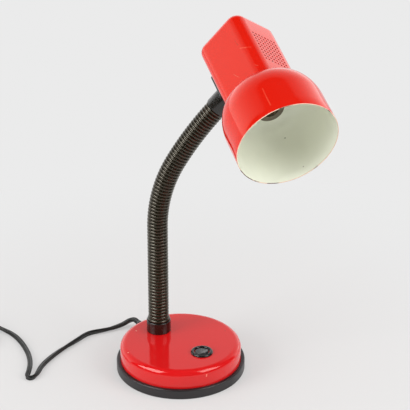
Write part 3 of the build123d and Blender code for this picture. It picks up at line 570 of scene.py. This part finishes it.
# The cover of the base: pressed steel dish in red enamel, flat on top, with a round edge.
# A few small knocks have left pale and dark marks in the gloss.
def enamel(name, colour, speck_colour, gloss_tint, few_specks):
    """Gloss stove enamel with orange peel, pale specks and thin scratches."""
    material, shader = surface(name, colour, 0.08)
    vary(material, shader, 30, 0.05, 0.10, 0.05, 260)
    shader.inputs["Specular Tint"].default_value = (*gloss_tint, 1)
    duller = [0.9 * part + 0.008 for part in colour]
    place = add_node(material, "ShaderNodeTexCoord")
    specks = add_node(material, "ShaderNodeTexVoronoi", {"Scale": 75})
    near = ramp(material, 0.04, 0.09, 1, 0)
    pick = add_node(material, "ShaderNodeTexNoise", {"Scale": 34})
    rare = ramp(material, few_specks, few_specks + 0.06)
    stretch = add_node(
        material, "ShaderNodeMapping", {"Rotation": (0.5, 0.9, 0.3), "Scale": (20, 20, 800)}
    )
    lines = add_node(material, "ShaderNodeTexVoronoi", {"Scale": 1.0})
    thin = ramp(material, 0.10, 0.17, 1, 0)
    worn = add_node(material, "ShaderNodeTexNoise", {"Scale": 21})
    scuffed = ramp(material, 0.60, 0.64, high=0.3)
    tint = add_node(material, "ShaderNodeTexNoise", {"Scale": 9})
    fade = add_node(
        material, "ShaderNodeMix", {"A": (*colour, 1), "B": (*duller, 1)}, data_type="RGBA"
    )
    mixed = add_node(material, "ShaderNodeMix", {"B": (*speck_colour, 1)}, data_type="RGBA")
    for pattern in (specks, pick, tint, stretch, worn):
        link(material, (place, "Object"), (pattern, "Vector"))
    link(material, (specks, "Distance"), (near, "Value"))
    link(material, (pick, "Fac"), (rare, "Value"))
    link(material, (stretch, "Vector"), (lines, "Vector"))
    link(material, (lines, "Distance"), (thin, "Value"))
    link(material, (worn, "Fac"), (scuffed, "Value"))
    chosen = arithmetic(material, "MULTIPLY", near.outputs["Result"], rare.outputs["Result"])
    scratch = arithmetic(
        material, "MULTIPLY", thin.outputs["Result"], scuffed.outputs["Result"]
    )
    marks = arithmetic(material, "MAXIMUM", chosen, scratch)
    material.node_tree.links.new(marks, mixed.inputs["Factor"])
    link(material, (tint, "Fac"), (fade, "Factor"))
    link(material, (fade, "Result"), (mixed, "A"))
    link(material, (mixed, "Result"), (shader, "Base Color"))
    return material


def knock(material, start, end, colour, strength):
    """One worn mark in the enamel, along the line between two points of the surface."""
    half_width = 0.0006
    shader = material.node_tree.nodes["Principled BSDF"]
    unworn = shader.inputs["Base Color"].links[0].from_socket
    run = Vector(end) - Vector(start)
    along = run / run.length_squared
    place = add_node(material, "ShaderNodeTexCoord")
    from_start = add_node(material, "ShaderNodeVectorMath", {1: start}, operation="SUBTRACT")
    share = add_node(material, "ShaderNodeVectorMath", {1: along}, operation="DOT_PRODUCT")
    held = add_node(material, "ShaderNodeClamp")
    nearest = add_node(material, "ShaderNodeVectorMath", {0: run}, operation="SCALE")
    away = add_node(material, "ShaderNodeVectorMath", operation="DISTANCE")
    soft = ramp(material, 0.5 * half_width, 1.4 * half_width, strength, 0)
    worn = add_node(material, "ShaderNodeMix", {"B": (*colour, 1)}, data_type="RGBA")
    link(material, (place, "Object"), (from_start, "Vector"))
    link(material, (from_start, "Vector"), (share, "Vector"))
    link(material, (share, "Value"), (held, "Value"))
    link(material, (held, "Result"), (nearest, "Scale"))
    link(material, (from_start, "Vector"), (away, "Vector"))
    link(material, (nearest, "Vector"), (away, 1))
    link(material, (away, "Value"), (soft, "Value"))
    link(material, (soft, "Result"), (worn, "Factor"))
    material.node_tree.links.new(unworn, worn.inputs["A"])
    link(material, (worn, "Result"), (shader, "Base Color"))


red_enamel = enamel(
    "red_enamel", (0.61, 0.005, 0.006), (0.85, 0.50, 0.40), (1.0, 0.86, 0.82), 0.62
)
pale_knock = (0.90, 0.45, 0.34)
dark_knock = (0.28, 0.025, 0.01)
knock(red_enamel, (-0.0201, 0.0494, 0.0310), (-0.0201, 0.0502, 0.0310), pale_knock, 0.65)
knock(red_enamel, (-0.0571, 0.0214, 0.0306), (-0.0573, 0.0219, 0.0305), pale_knock, 0.6)
knock(red_enamel, (-0.0207, -0.0625, 0.0245), (-0.0210, -0.0624, 0.0226), pale_knock, 0.45)
knock(red_enamel, (0.0502, -0.0174, 0.0310), (0.0504, -0.0186, 0.0310), dark_knock, 0.7)
cover_radius, cover_top, cover_steel = 65.9, 31, 1
cover_shape = turned(
    (
        (cover_radius, cover_foot),
        (cover_radius, cover_top),
        (0, cover_top),
        (0, cover_top - cover_steel),
        (cover_radius - cover_steel, cover_top - cover_steel),
        (cover_radius - cover_steel, cover_foot),
    ),
    rounds=((1, 7), (4, 6)),
    steps=160,
)
base_dish = finish_piece("base_dish", cover_shape, red_enamel, sharp=50, flat=True)
carry(base_dish, "base", "red_enamel", "base_cover")


# The switch: round black rocker switch snapped into the cover, with a thin round bezel.
# The rocker is a ball cut to a shallow V, resting with its front half down.
switch_centre = Vector((0, -0.0335, 0))
pivot = Vector((0, -0.0335, 0.030))
well_radius, body_radius, bezel_radius = 8.35, 9.9, 11.9
body_foot, well_floor, bezel_top = 16, 21.6, 33.2
bezel_shape = turned(
    (
        (0, body_foot),
        (body_radius, body_foot),
        (body_radius, cover_top),
        (bezel_radius, cover_top),
        (bezel_radius, bezel_top),
        (well_radius, bezel_top),
        (well_radius, well_floor),
        (0, well_floor),
    ),
    Matrix.Translation(switch_centre),
    rounds=((4, 1.7), (5, 1.3)),
    steps=72,
)
switch_black, switch_shader = surface("switch_black", (0.012, 0.012, 0.012), 0.25)
vary(switch_black, switch_shader, 150, 0.10, 0.24, 0.05, 900)
switch_bezel = finish_piece("switch_bezel", bezel_shape, switch_black, flat=True)
carry(switch_bezel, "base", "switch_plastic", "switch_housing")

ball_radius = 0.0075
rocker_foot, crease_height = -0.005, 0.0022
slope = math.radians(9)
rocker_shape = bmesh.new()
bmesh.ops.create_uvsphere(rocker_shape, u_segments=64, v_segments=48, radius=ball_radius)


def cut_away(shape, point, normal):
    """Cuts off what lies beyond a plane and closes the cut."""
    geometry = list(shape.verts) + list(shape.edges) + list(shape.faces)
    cut = bmesh.ops.bisect_plane(
        shape, geom=geometry, plane_co=point, plane_no=normal, clear_outer=True
    )
    open_edges = [item for item in cut["geom_cut"] if isinstance(item, bmesh.types.BMEdge)]
    bmesh.ops.contextual_create(shape, geom=open_edges)


cut_away(rocker_shape, (0, 0, rocker_foot), (0, 0, -1))
halves = []
for side in (-1, 1):
    half_rocker = rocker_shape.copy()
    cut_away(half_rocker, (0, 0, 0), (0, -side, 0))
    upwards = (0, -side * math.sin(slope), math.cos(slope))
    cut_away(half_rocker, (0, 0, crease_height), upwards)
    middle_faces = [
        face for face in half_rocker.faces if all(abs(v.co.y) < 1e-6 for v in face.verts)
    ]
    bmesh.ops.delete(half_rocker, geom=middle_faces, context="FACES_ONLY")
    half_mesh = bpy.data.meshes.new("half_rocker")
    half_rocker.to_mesh(half_mesh)
    half_rocker.free()
    halves.append(half_mesh)
rocker_shape.clear()
for half_mesh in halves:
    rocker_shape.from_mesh(half_mesh)
    bpy.data.meshes.remove(half_mesh)
bmesh.ops.remove_doubles(rocker_shape, verts=rocker_shape.verts, dist=2e-6)
top_rim = [edge for edge in rocker_shape.edges if edge.calc_face_angle(0) > math.radians(50)]
bevel_edges(rocker_shape, top_rim, 0.35, 3)
bmesh.ops.transform(
    rocker_shape,
    matrix=Matrix.Translation(pivot) @ Matrix.Rotation(-slope, 4, "X"),
    verts=rocker_shape.verts,
)
rocker_grey, rocker_shader = surface("rocker_grey", (0.030, 0.030, 0.031), 0.32)
vary(rocker_grey, rocker_shader, 120, 0.24, 0.42, 0.1, 1100)
rocker_cap = finish_piece("rocker_cap", rocker_shape, rocker_grey, sharp=40)
carry(rocker_cap, "rocker", "rocker_plastic", "switch_rocker")


# The strain relief: tapered black PVC sleeve where the flex leaves the base, with the
# ring grooves that let it bend.
exit_place = Matrix(
    (
        (-cord_out.y, 0, cord_out.x, 0),
        (cord_out.x, 0, cord_out.y, 0),
        (0, 1, 0, cord_exit.z),
        (0, 0, 0, 1),
    )
)
relief_bore, waist, flange = 2.65, 4.1, 5.3
relief_profile = [
    (relief_bore, 61),
    (flange, 61),
    (flange, 62.9),
    (waist, 62.9),
    (waist, 70.1),
    (flange, 70.1),
    (flange, 72.0),
    (4.45, 73.0),
]
groove_pitch, groove_depth = 4.0, 0.45
for groove in range(4):
    start = 75.0 + groove_pitch * groove
    wide = 4.4 - 0.26 * groove
    relief_profile += [
        (wide, start),
        (wide - groove_depth, start + 0.3),
        (wide - groove_depth, start + 1.2),
        (wide - 0.06, start + 1.5),
    ]
relief_profile += [(3.3, 91.2), (3.0, 92), (relief_bore, 92)]
relief_shape = turned(relief_profile, exit_place, steps=48)
relief_pvc, relief_shader = surface("relief_pvc", (0.020, 0.020, 0.020), 0.45)
vary(relief_pvc, relief_shader, 120, 0.36, 0.55, 0.3, 1500)
flex_sleeve = finish_piece("flex_sleeve", relief_shape, relief_pvc)
carry(flex_sleeve, "base", "relief_pvc", "strain_relief")


# Inside the base: the switch's blades, the clamp on the cord and the screwed block that
# joins the leads. They are only seen with the cover off.
brass, brass_shader = surface("brass", (0.70, 0.47, 0.18), 0.3, 1.0)
vary(brass, brass_shader, 180, 0.22, 0.42)
block_plastic, block_shader = surface("block_plastic", (0.020, 0.019, 0.018), 0.35)
vary(block_plastic, block_shader, 80, 0.28, 0.45, 0.1, 1200)
paint_node(brass, "switch_terminals")
paint_node(block_plastic, "terminal_block", "cord_clamp")
paint_node(zinc, "clamp_screws", "terminal_screws", "neck_nut", "neck_washer")
paint_node(flex_pvc, "cord_tail", "base_leads", "head_leads")


# The neck: steel gooseneck in a ribbed black sleeve between two smooth black collars.
# It rises straight, then bends in one upright plane towards the switch side.
neck_azimuth = math.radians(-50.5)
bend_axis = Vector((-math.sin(neck_azimuth), math.cos(neck_azimuth), 0))
lean_way = Vector((math.cos(neck_azimuth), math.sin(neck_azimuth), 0))
neck_back, neck_foot = 0.035, 0.031
neck_straight = 0.127
neck_bends = ((0.160, 29.2), (0.420, 10.3))
neck_bore, rib_root = 9.1, 9.55
lower_collar_height = 0.0135
links = 12
ribs_per_link = 6
ribs_end = neck_straight + sum(radius * math.radians(angle) for radius, angle in neck_bends)
link_length = (ribs_end - lower_collar_height) / links
rib_pitch = link_length / ribs_per_link


def along_neck(distance):
    """Placing matrix on the neck's centreline: Z runs up the neck, X is the bend axis."""
    rise = min(distance, neck_straight)
    out, up, tilt, left = 0.0, neck_foot + rise, 0.0, distance - rise
    for radius, angle in neck_bends:
        turn = min(math.radians(angle), left / radius)
        out += radius * (math.cos(tilt) - math.cos(tilt + turn))
        up += radius * (math.sin(tilt + turn) - math.sin(tilt))
        tilt += turn
        left -= turn * radius
    out += left * math.sin(tilt)
    up += left * math.cos(tilt)
    place = Vector((0, neck_back, up)) + out * lean_way
    ahead = math.sin(tilt) * lean_way + math.cos(tilt) * Vector((0, 0, 1))
    across = ahead.cross(bend_axis)
    turn_in = Matrix((bend_axis, across, ahead)).transposed().to_4x4()
    return Matrix.Translation(place) @ turn_in


rib_section = (
    (0.00, rib_root),
    (0.08, 9.65),
    (0.15, 10.25),
    (0.24, 10.82),
    (0.36, 11.14),
    (0.50, 11.27),
    (0.64, 11.14),
    (0.76, 10.82),
    (0.85, 10.25),
    (0.92, 9.65),
)


def sleeve_length(first_rib, last_rib):
    """Ribbed tube between two ribs, counted from the lower collar, with its own bore."""
    foot_flare, flared_ribs = 1.5, 1.5
    rings = []
    for rib in range(first_rib, last_rib):
        for share, radius in rib_section:
            spot = rib + share
            flare = foot_flare * max(0.0, 1 - spot / flared_ribs)
            rings.append((spot, radius + flare))
    rings.append((last_rib, rib_root))
    ribs = last_rib - first_rib
    bore = [(last_rib - step * ribs / 4, neck_bore) for step in range(5)]
    shape = bmesh.new()
    made = bmesh.ops.create_circle(shape, segments=44, radius=1)
    loop = list(made["verts"])
    first_edges = last_edges = list({edge for vertex in loop for edge in vertex.link_edges})
    placed = Matrix()
    for number, (spot, radius) in enumerate(rings + bore):
        if number:
            grown = bmesh.ops.extrude_edge_only(shape, edges=last_edges)["geom"]
            loop = [item for item in grown if isinstance(item, bmesh.types.BMVert)]
            last_edges = [
                item
                for item in grown
                if isinstance(item, bmesh.types.BMEdge)
                and item.verts[0] in loop
                and item.verts[1] in loop
            ]
        wanted = along_neck(lower_collar_height + spot * rib_pitch) @ Matrix.Diagonal(
            (radius / 1000, radius / 1000, 1, 1)
        )
        bmesh.ops.transform(shape, matrix=wanted @ placed.inverted(), verts=loop)
        placed = wanted
    bmesh.ops.bridge_loops(shape, edges=first_edges + last_edges)
    return shape


sleeve_black, sleeve_shader = surface("sleeve_black", (0.014, 0.011, 0.006), 0.22)
vary(sleeve_black, sleeve_shader, 45, 0.20, 0.29, 0.02, 500)
sleeve_shader.inputs["Specular IOR Level"].default_value = 0.85
sleeve_shader.inputs["Specular Tint"].default_value = (1.0, 0.93, 0.78, 1)
half_link = ribs_per_link // 2
blend_ribs = 2.2
foot_sleeve = finish_piece("neck_sleeve_00", sleeve_length(0, half_link), sleeve_black)
carry(foot_sleeve, "base", "sleeve_black", "sleeve_00")
for number in range(1, links):
    middle = number * ribs_per_link
    stretch = sleeve_length(middle - half_link, middle + half_link)
    part = finish_piece(f"neck_sleeve_{number:02d}", stretch, sleeve_black)
    joint_spot = lower_collar_height + middle * rib_pitch
    along_neck(joint_spot - blend_ribs * rib_pitch).translation
    along_neck(joint_spot + blend_ribs * rib_pitch).translation
    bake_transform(part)
    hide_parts(f"sleeve_{number:02d}")
last_rib = links * ribs_per_link
top_length = sleeve_length(last_rib - half_link, last_rib)
top_sleeve = finish_piece("neck_sleeve_12", top_length, sleeve_black)
carry(top_sleeve, "neck_11", "sleeve_black")

collar_black, collar_shader = surface("collar_black", (0.009, 0.008, 0.006), 0.20)
vary(collar_black, collar_shader, 70, 0.16, 0.26, 0.02, 500)
collar_shader.inputs["Specular IOR Level"].default_value = 0.65
lower_radius, lower_top = 13.2, 1000 * lower_collar_height
lower_shape = turned(
    ((neck_bore, 0), (lower_radius, 0), (lower_radius, lower_top), (neck_bore, lower_top)),
    along_neck(0),
    rounds=((1, 0.5), (2, 0.9)),
    steps=64,
)
foot_collar = finish_piece("foot_collar", lower_shape, collar_black)
carry(foot_collar, "base", "black_enamel", "lower_collar")
upper_radius, upper_top = 12.2, 21.8
upper_shape = turned(
    ((neck_bore, 0), (upper_radius, 0), (upper_radius, upper_top), (neck_bore, upper_top)),
    along_neck(ribs_end),
    rounds=((1, 0.9), (2, 0.9)),
    steps=64,
)
head_collar = finish_piece("head_collar", upper_shape, collar_black)
carry(head_collar, "neck_11", "black_enamel", "upper_collar")
steel_core, core_shader = surface("steel_core", (0.36, 0.36, 0.35), 0.4, 1.0)
vary(steel_core, core_shader, 150, 0.3, 0.5)
paint_node(steel_core, "neck_stem", "head_stem", *[f"neck_core_{n:02d}" for n in range(1, 11)])


# The plate under the housing: black steel plate that the neck's end is screwed through.
# It is fixed to the housing and turns with the head on the neck's collar.
upper_collar_height = 0.022
plate_thick, plate_half_width, plate_half_height = 2.5, 21, 18
head_turn = math.radians(-57.4)
mount_level, mount_side = 110.7, 31.0
tip = along_neck(ribs_end + upper_collar_height + plate_thick / 1000)
vents_way = tip.to_3x3().col[2].normalized()
light_way = Matrix.Rotation(head_turn, 3, vents_way) @ -tip.to_3x3().col[1]
inward = -light_way
side_way = inward.cross(vents_way)
head_origin = tip.translation + mount_level / 1000 * light_way
head_origin += mount_side / 1000 * vents_way
head_place = Matrix.Translation(head_origin) @ (
    Matrix((vents_way, side_way, inward)).transposed().to_4x4()
)


def edges_along(shape, axis):
    """Edges that run along one of the axes of the shape."""
    return [
        edge
        for edge in shape.edges
        if abs((edge.verts[0].co - edge.verts[1].co).normalized()[axis]) > 0.99
    ]


plate_outside = -mount_side - plate_thick
plate_shape = block(
    (plate_outside, -plate_half_width, mount_level - plate_half_height),
    (-mount_side, plate_half_width, mount_level + plate_half_height),
)
bevel_edges(plate_shape, edges_along(plate_shape, 0), 4, 6)
near_outside = (plate_outside + 0.1) / 1000
outer_rim = [e for e in plate_shape.edges if all(v.co.x < near_outside for v in e.verts)]
bevel_edges(plate_shape, outer_rim, 0.5, 3)
bmesh.ops.transform(plate_shape, matrix=head_place, verts=plate_shape.verts)
swivel_plate = finish_piece("swivel_plate", plate_shape, collar_black, flat=True)
carry(swivel_plate, "head", "black_enamel", "mounting_plate")


# The housing: square box of pressed steel in red enamel, open to the shade below, with
# eighty small vent holes in its upper side.
housing_side, housing_foot, housing_top = 31, 66, 161
head_steel = 0.8
vent_pitch, vent_rim, vent_corner = 4.5, 1.10, 0.55
vent_columns, vent_rows = 8, 10
vent_middle = mount_level
bell_centre, bell_reach = 32.0, 21.4
bell_foot, bell_rise = 36.0, 35.0


def dome_height(distance):
    """Height of the housing's lower edge on the shade, at a distance from the axis, in mm."""
    gap = 0.1
    if distance <= bell_centre:
        return bell_foot + bell_rise + gap
    share = (distance - bell_centre) / (bell_reach + gap)
    return bell_foot + (bell_rise + gap) * math.sqrt(max(0.0, 1 - share**2))


housing_shape = block(
    (-housing_side, -housing_side, housing_foot), (housing_side, housing_side, housing_top)
)
bmesh.ops.delete(
    housing_shape,
    geom=[face for face in housing_shape.faces if face.normal.z < -0.9],
    context="FACES",
)
bevel_edges(housing_shape, edges_along(housing_shape, 2), 12, 10)
far_rim = {
    edge
    for face in housing_shape.faces
    if face.normal.z > 0.99
    for edge in face.edges
}
bevel_edges(housing_shape, far_rim, 9, 8)


def slice_where(shape, faces, point, normal):
    """Cuts chosen faces along a plane, leaving the rest whole."""
    geometry = list({part for face in faces for part in (face, *face.edges, *face.verts)})
    bmesh.ops.bisect_plane(shape, geom=geometry, plane_co=point, plane_no=normal)


def vent_wall(shape):
    """Faces of the flat side that the vents go through."""
    return [face for face in shape.faces if face.normal.x > 0.999]


for column in range(vent_columns + 1):
    across = (column - vent_columns / 2) * vent_pitch / 1000
    slice_where(housing_shape, vent_wall(housing_shape), (0, across, 0), (0, 1, 0))
for row in range(vent_rows + 1):
    level = (vent_middle + (row - vent_rows / 2) * vent_pitch) / 1000
    slice_where(housing_shape, vent_wall(housing_shape), (0, 0, level), (0, 0, 1))
half_columns, half_rows = vent_columns * vent_pitch / 2000, vent_rows * vent_pitch / 2000
cells = [
    face
    for face in vent_wall(housing_shape)
    if abs(face.calc_center_median().y) < half_columns
    and abs(face.calc_center_median().z - vent_middle / 1000) < half_rows
]
hole_centres = [face.calc_center_median() for face in cells]
bmesh.ops.inset_individual(
    housing_shape, faces=cells, thickness=vent_rim / 1000, use_even_offset=True
)
hole_corners = list({vertex for face in cells for vertex in face.verts})
bevel_corners(housing_shape, hole_corners, vent_corner, 2)
same_place = 0.0003
holes = [
    face
    for face in vent_wall(housing_shape)
    if any((face.calc_center_median() - centre).length < same_place for centre in hole_centres)
]
bmesh.ops.delete(housing_shape, geom=holes, context="FACES")
lower_edge = (housing_foot + 0.5) / 1000
edge_step = 6.0
for plane in range(-5, 6):
    spot = plane * edge_step / 1000
    for normal in ((1, 0, 0), (0, 1, 0)):
        low_faces = [
            face
            for face in housing_shape.faces
            if min(vertex.co.z for vertex in face.verts) < lower_edge
        ]
        slice_where(housing_shape, low_faces, (spot, spot, 0), normal)
for vertex in housing_shape.verts:
    if vertex.co.z < lower_edge:
        vertex.co.z = dome_height(1000 * math.hypot(vertex.co.x, vertex.co.y)) / 1000
bmesh.ops.transform(housing_shape, matrix=head_place, verts=housing_shape.verts)
head_enamel = enamel(
    "head_enamel", (0.640, 0.0075, 0.0003), (0.80, 0.34, 0.22), (1.0, 0.80, 0.58), 0.66
)
pale_scratch = (0.95, 0.20, 0.11)
knock(head_enamel, (0.0445, -0.0430, 0.3719), (0.0455, -0.0498, 0.3741), pale_scratch, 0.26)
knock(head_enamel, (0.0455, -0.0498, 0.3741), (0.0487, -0.0544, 0.3752), pale_scratch, 0.20)
knock(head_enamel, (0.0489, -0.0310, 0.3753), (0.0481, -0.0332, 0.3747), dark_knock, 0.35)
knock(head_enamel, (0.0474, -0.0352, 0.3742), (0.0464, -0.0383, 0.3735), dark_knock, 0.45)
# Inner face of the housing's wall painted dark, as painted shade seen through the vent holes.
painted_dark_inside, dark_inside_shader = surface("painted_dark_inside", (0.045, 0.006, 0.005), 0.8)
vary(painted_dark_inside, dark_inside_shader, 60, 0.7, 0.9, 0.3, 900)
housing = finish_piece("housing", housing_shape, head_enamel, painted_dark_inside, sharp=30, flat=True)
wall = housing.modifiers.new("wall", "SOLIDIFY")
wall.thickness = head_steel / 1000
wall.offset = -1
wall.material_offset = 1
housing.modifiers.move(housing.modifiers.find("level"), 1)
carry(housing, "head", "red_enamel", "casing")

tabs_shape = bmesh.new()
for side in (-1, 1):
    tab = block((-7, 19.2, 71.1), (7, 30.2, 72.3))
    bmesh.ops.scale(tab, vec=(1, side, 1), verts=tab.verts)
    tab_mesh = bpy.data.meshes.new("tab")
    tab.to_mesh(tab_mesh)
    tab.free()
    tabs_shape.from_mesh(tab_mesh)
    bpy.data.meshes.remove(tab_mesh)
bevel_edges(tabs_shape, edges_along(tabs_shape, 2), 1.5, 3)
bmesh.ops.transform(tabs_shape, matrix=head_place, verts=tabs_shape.verts)
housing_tabs = finish_piece("housing_tabs", tabs_shape, head_enamel)
carry(housing_tabs, "head", "red_enamel")


# The shade: spun steel bell, red enamel outside and off-white inside, with a bare thin
# rim where the two meet. Two screws hold it to the housing's tabs.
rim_radius, middle_hole = 53.4, 17
lining_radius = rim_radius - head_steel
shoulder = [
    (
        rim_radius - bell_reach * (1 - math.cos(math.radians(angle))),
        bell_foot + bell_rise * math.sin(math.radians(angle)),
    )
    for angle in range(0, 91, 6)
]
lining = [
    (
        bell_centre + (bell_reach - head_steel) * math.cos(math.radians(angle)),
        bell_foot + (bell_rise - head_steel) * math.sin(math.radians(angle)),
    )
    for angle in range(90, -1, -6)
]
bell_top = bell_foot + bell_rise
shade_shape = turned(
    [(52.9, -0.05), (53.3, 0.1), (rim_radius, 0.5), (rim_radius, 12), (rim_radius, 24)]
    + shoulder
    + [(middle_hole, bell_top), (middle_hole, bell_top - head_steel)]
    + lining
    + [(lining_radius, 24), (lining_radius, 12), (lining_radius, 0.5), (52.7, 0.1)],
    head_place,
    steps=160,
)
inverse_head = head_place.inverted()
half_steel = head_steel / 2
rim_edge = 0.3
for face in shade_shape.faces:
    middle = inverse_head @ face.calc_center_median()
    distance = 1000 * math.hypot(middle.x, middle.y)
    depth = 1000 * middle.z
    if depth < bell_foot:
        inside = distance < rim_radius - half_steel
    elif distance <= bell_centre:
        inside = depth < bell_top - half_steel
    else:
        across = (distance - bell_centre) / (bell_reach - half_steel)
        upwards = (depth - bell_foot) / (bell_rise - half_steel)
        inside = math.hypot(across, upwards) < 1.0
    face.material_index = 1 if inside else 0
    if depth < rim_edge:
        face.material_index = 2
cream_enamel = enamel(
    "cream_enamel", (0.85, 0.865, 0.735), (0.16, 0.10, 0.06), (1.0, 1.0, 1.0), 0.66
)
brown_knock = (0.08, 0.07, 0.04)
knock(cream_enamel, (0.0674, -0.0862, 0.2795), (0.0676, -0.0862, 0.2799), brown_knock, 0.9)
knock(head_enamel, (0.0054, -0.1134, 0.3601), (0.0002, -0.1240, 0.3556), pale_scratch, 0.16)
knock(head_enamel, (0.0002, -0.1240, 0.3556), (-0.0041, -0.1337, 0.3518), pale_scratch, 0.22)
worn_rim, rim_shader = surface("worn_rim", (0.66, 0.42, 0.32), 0.45)
vary(worn_rim, rim_shader, 200, 0.35, 0.6, 0.2, 1500)
rim_place = add_node(worn_rim, "ShaderNodeTexCoord")
chips = add_node(worn_rim, "ShaderNodeTexNoise", {"Scale": 55, "Detail": 4})
chip_tone = add_node(worn_rim, "ShaderNodeValToRGB")
chip_tone.color_ramp.elements[0].position = 0.40
chip_tone.color_ramp.elements[0].color = (0.09, 0.035, 0.02, 1)
chip_tone.color_ramp.elements[1].position = 0.47
chip_tone.color_ramp.elements[1].color = (0.72, 0.50, 0.38, 1)
link(worn_rim, (rim_place, "Object"), (chips, "Vector"))
link(worn_rim, (chips, "Fac"), (chip_tone, "Fac"))
link(worn_rim, (chip_tone, "Color"), (rim_shader, "Base Color"))
shade_bell = finish_piece(
    "shade_bell", shade_shape, head_enamel, cream_enamel, worn_rim, sharp=50
)
carry(shade_bell, "head", "shade_enamel", "shade")
paint_node(zinc, "shade_screws", "holder_bracket", "holder_nut", "head_nut")


# The lampholder: moulded screw holder in dull greyish-brown plastic, with a brass
# shell inside.
holder_plastic, holder_shader = surface("holder_plastic", (0.105, 0.085, 0.055), 0.6)
vary(holder_plastic, holder_shader, 60, 0.5, 0.75, 0.15, 900)
paint_node(holder_plastic, "lampholder")
paint_node(brass, "lamp_screw_shell", "lamp_contact")
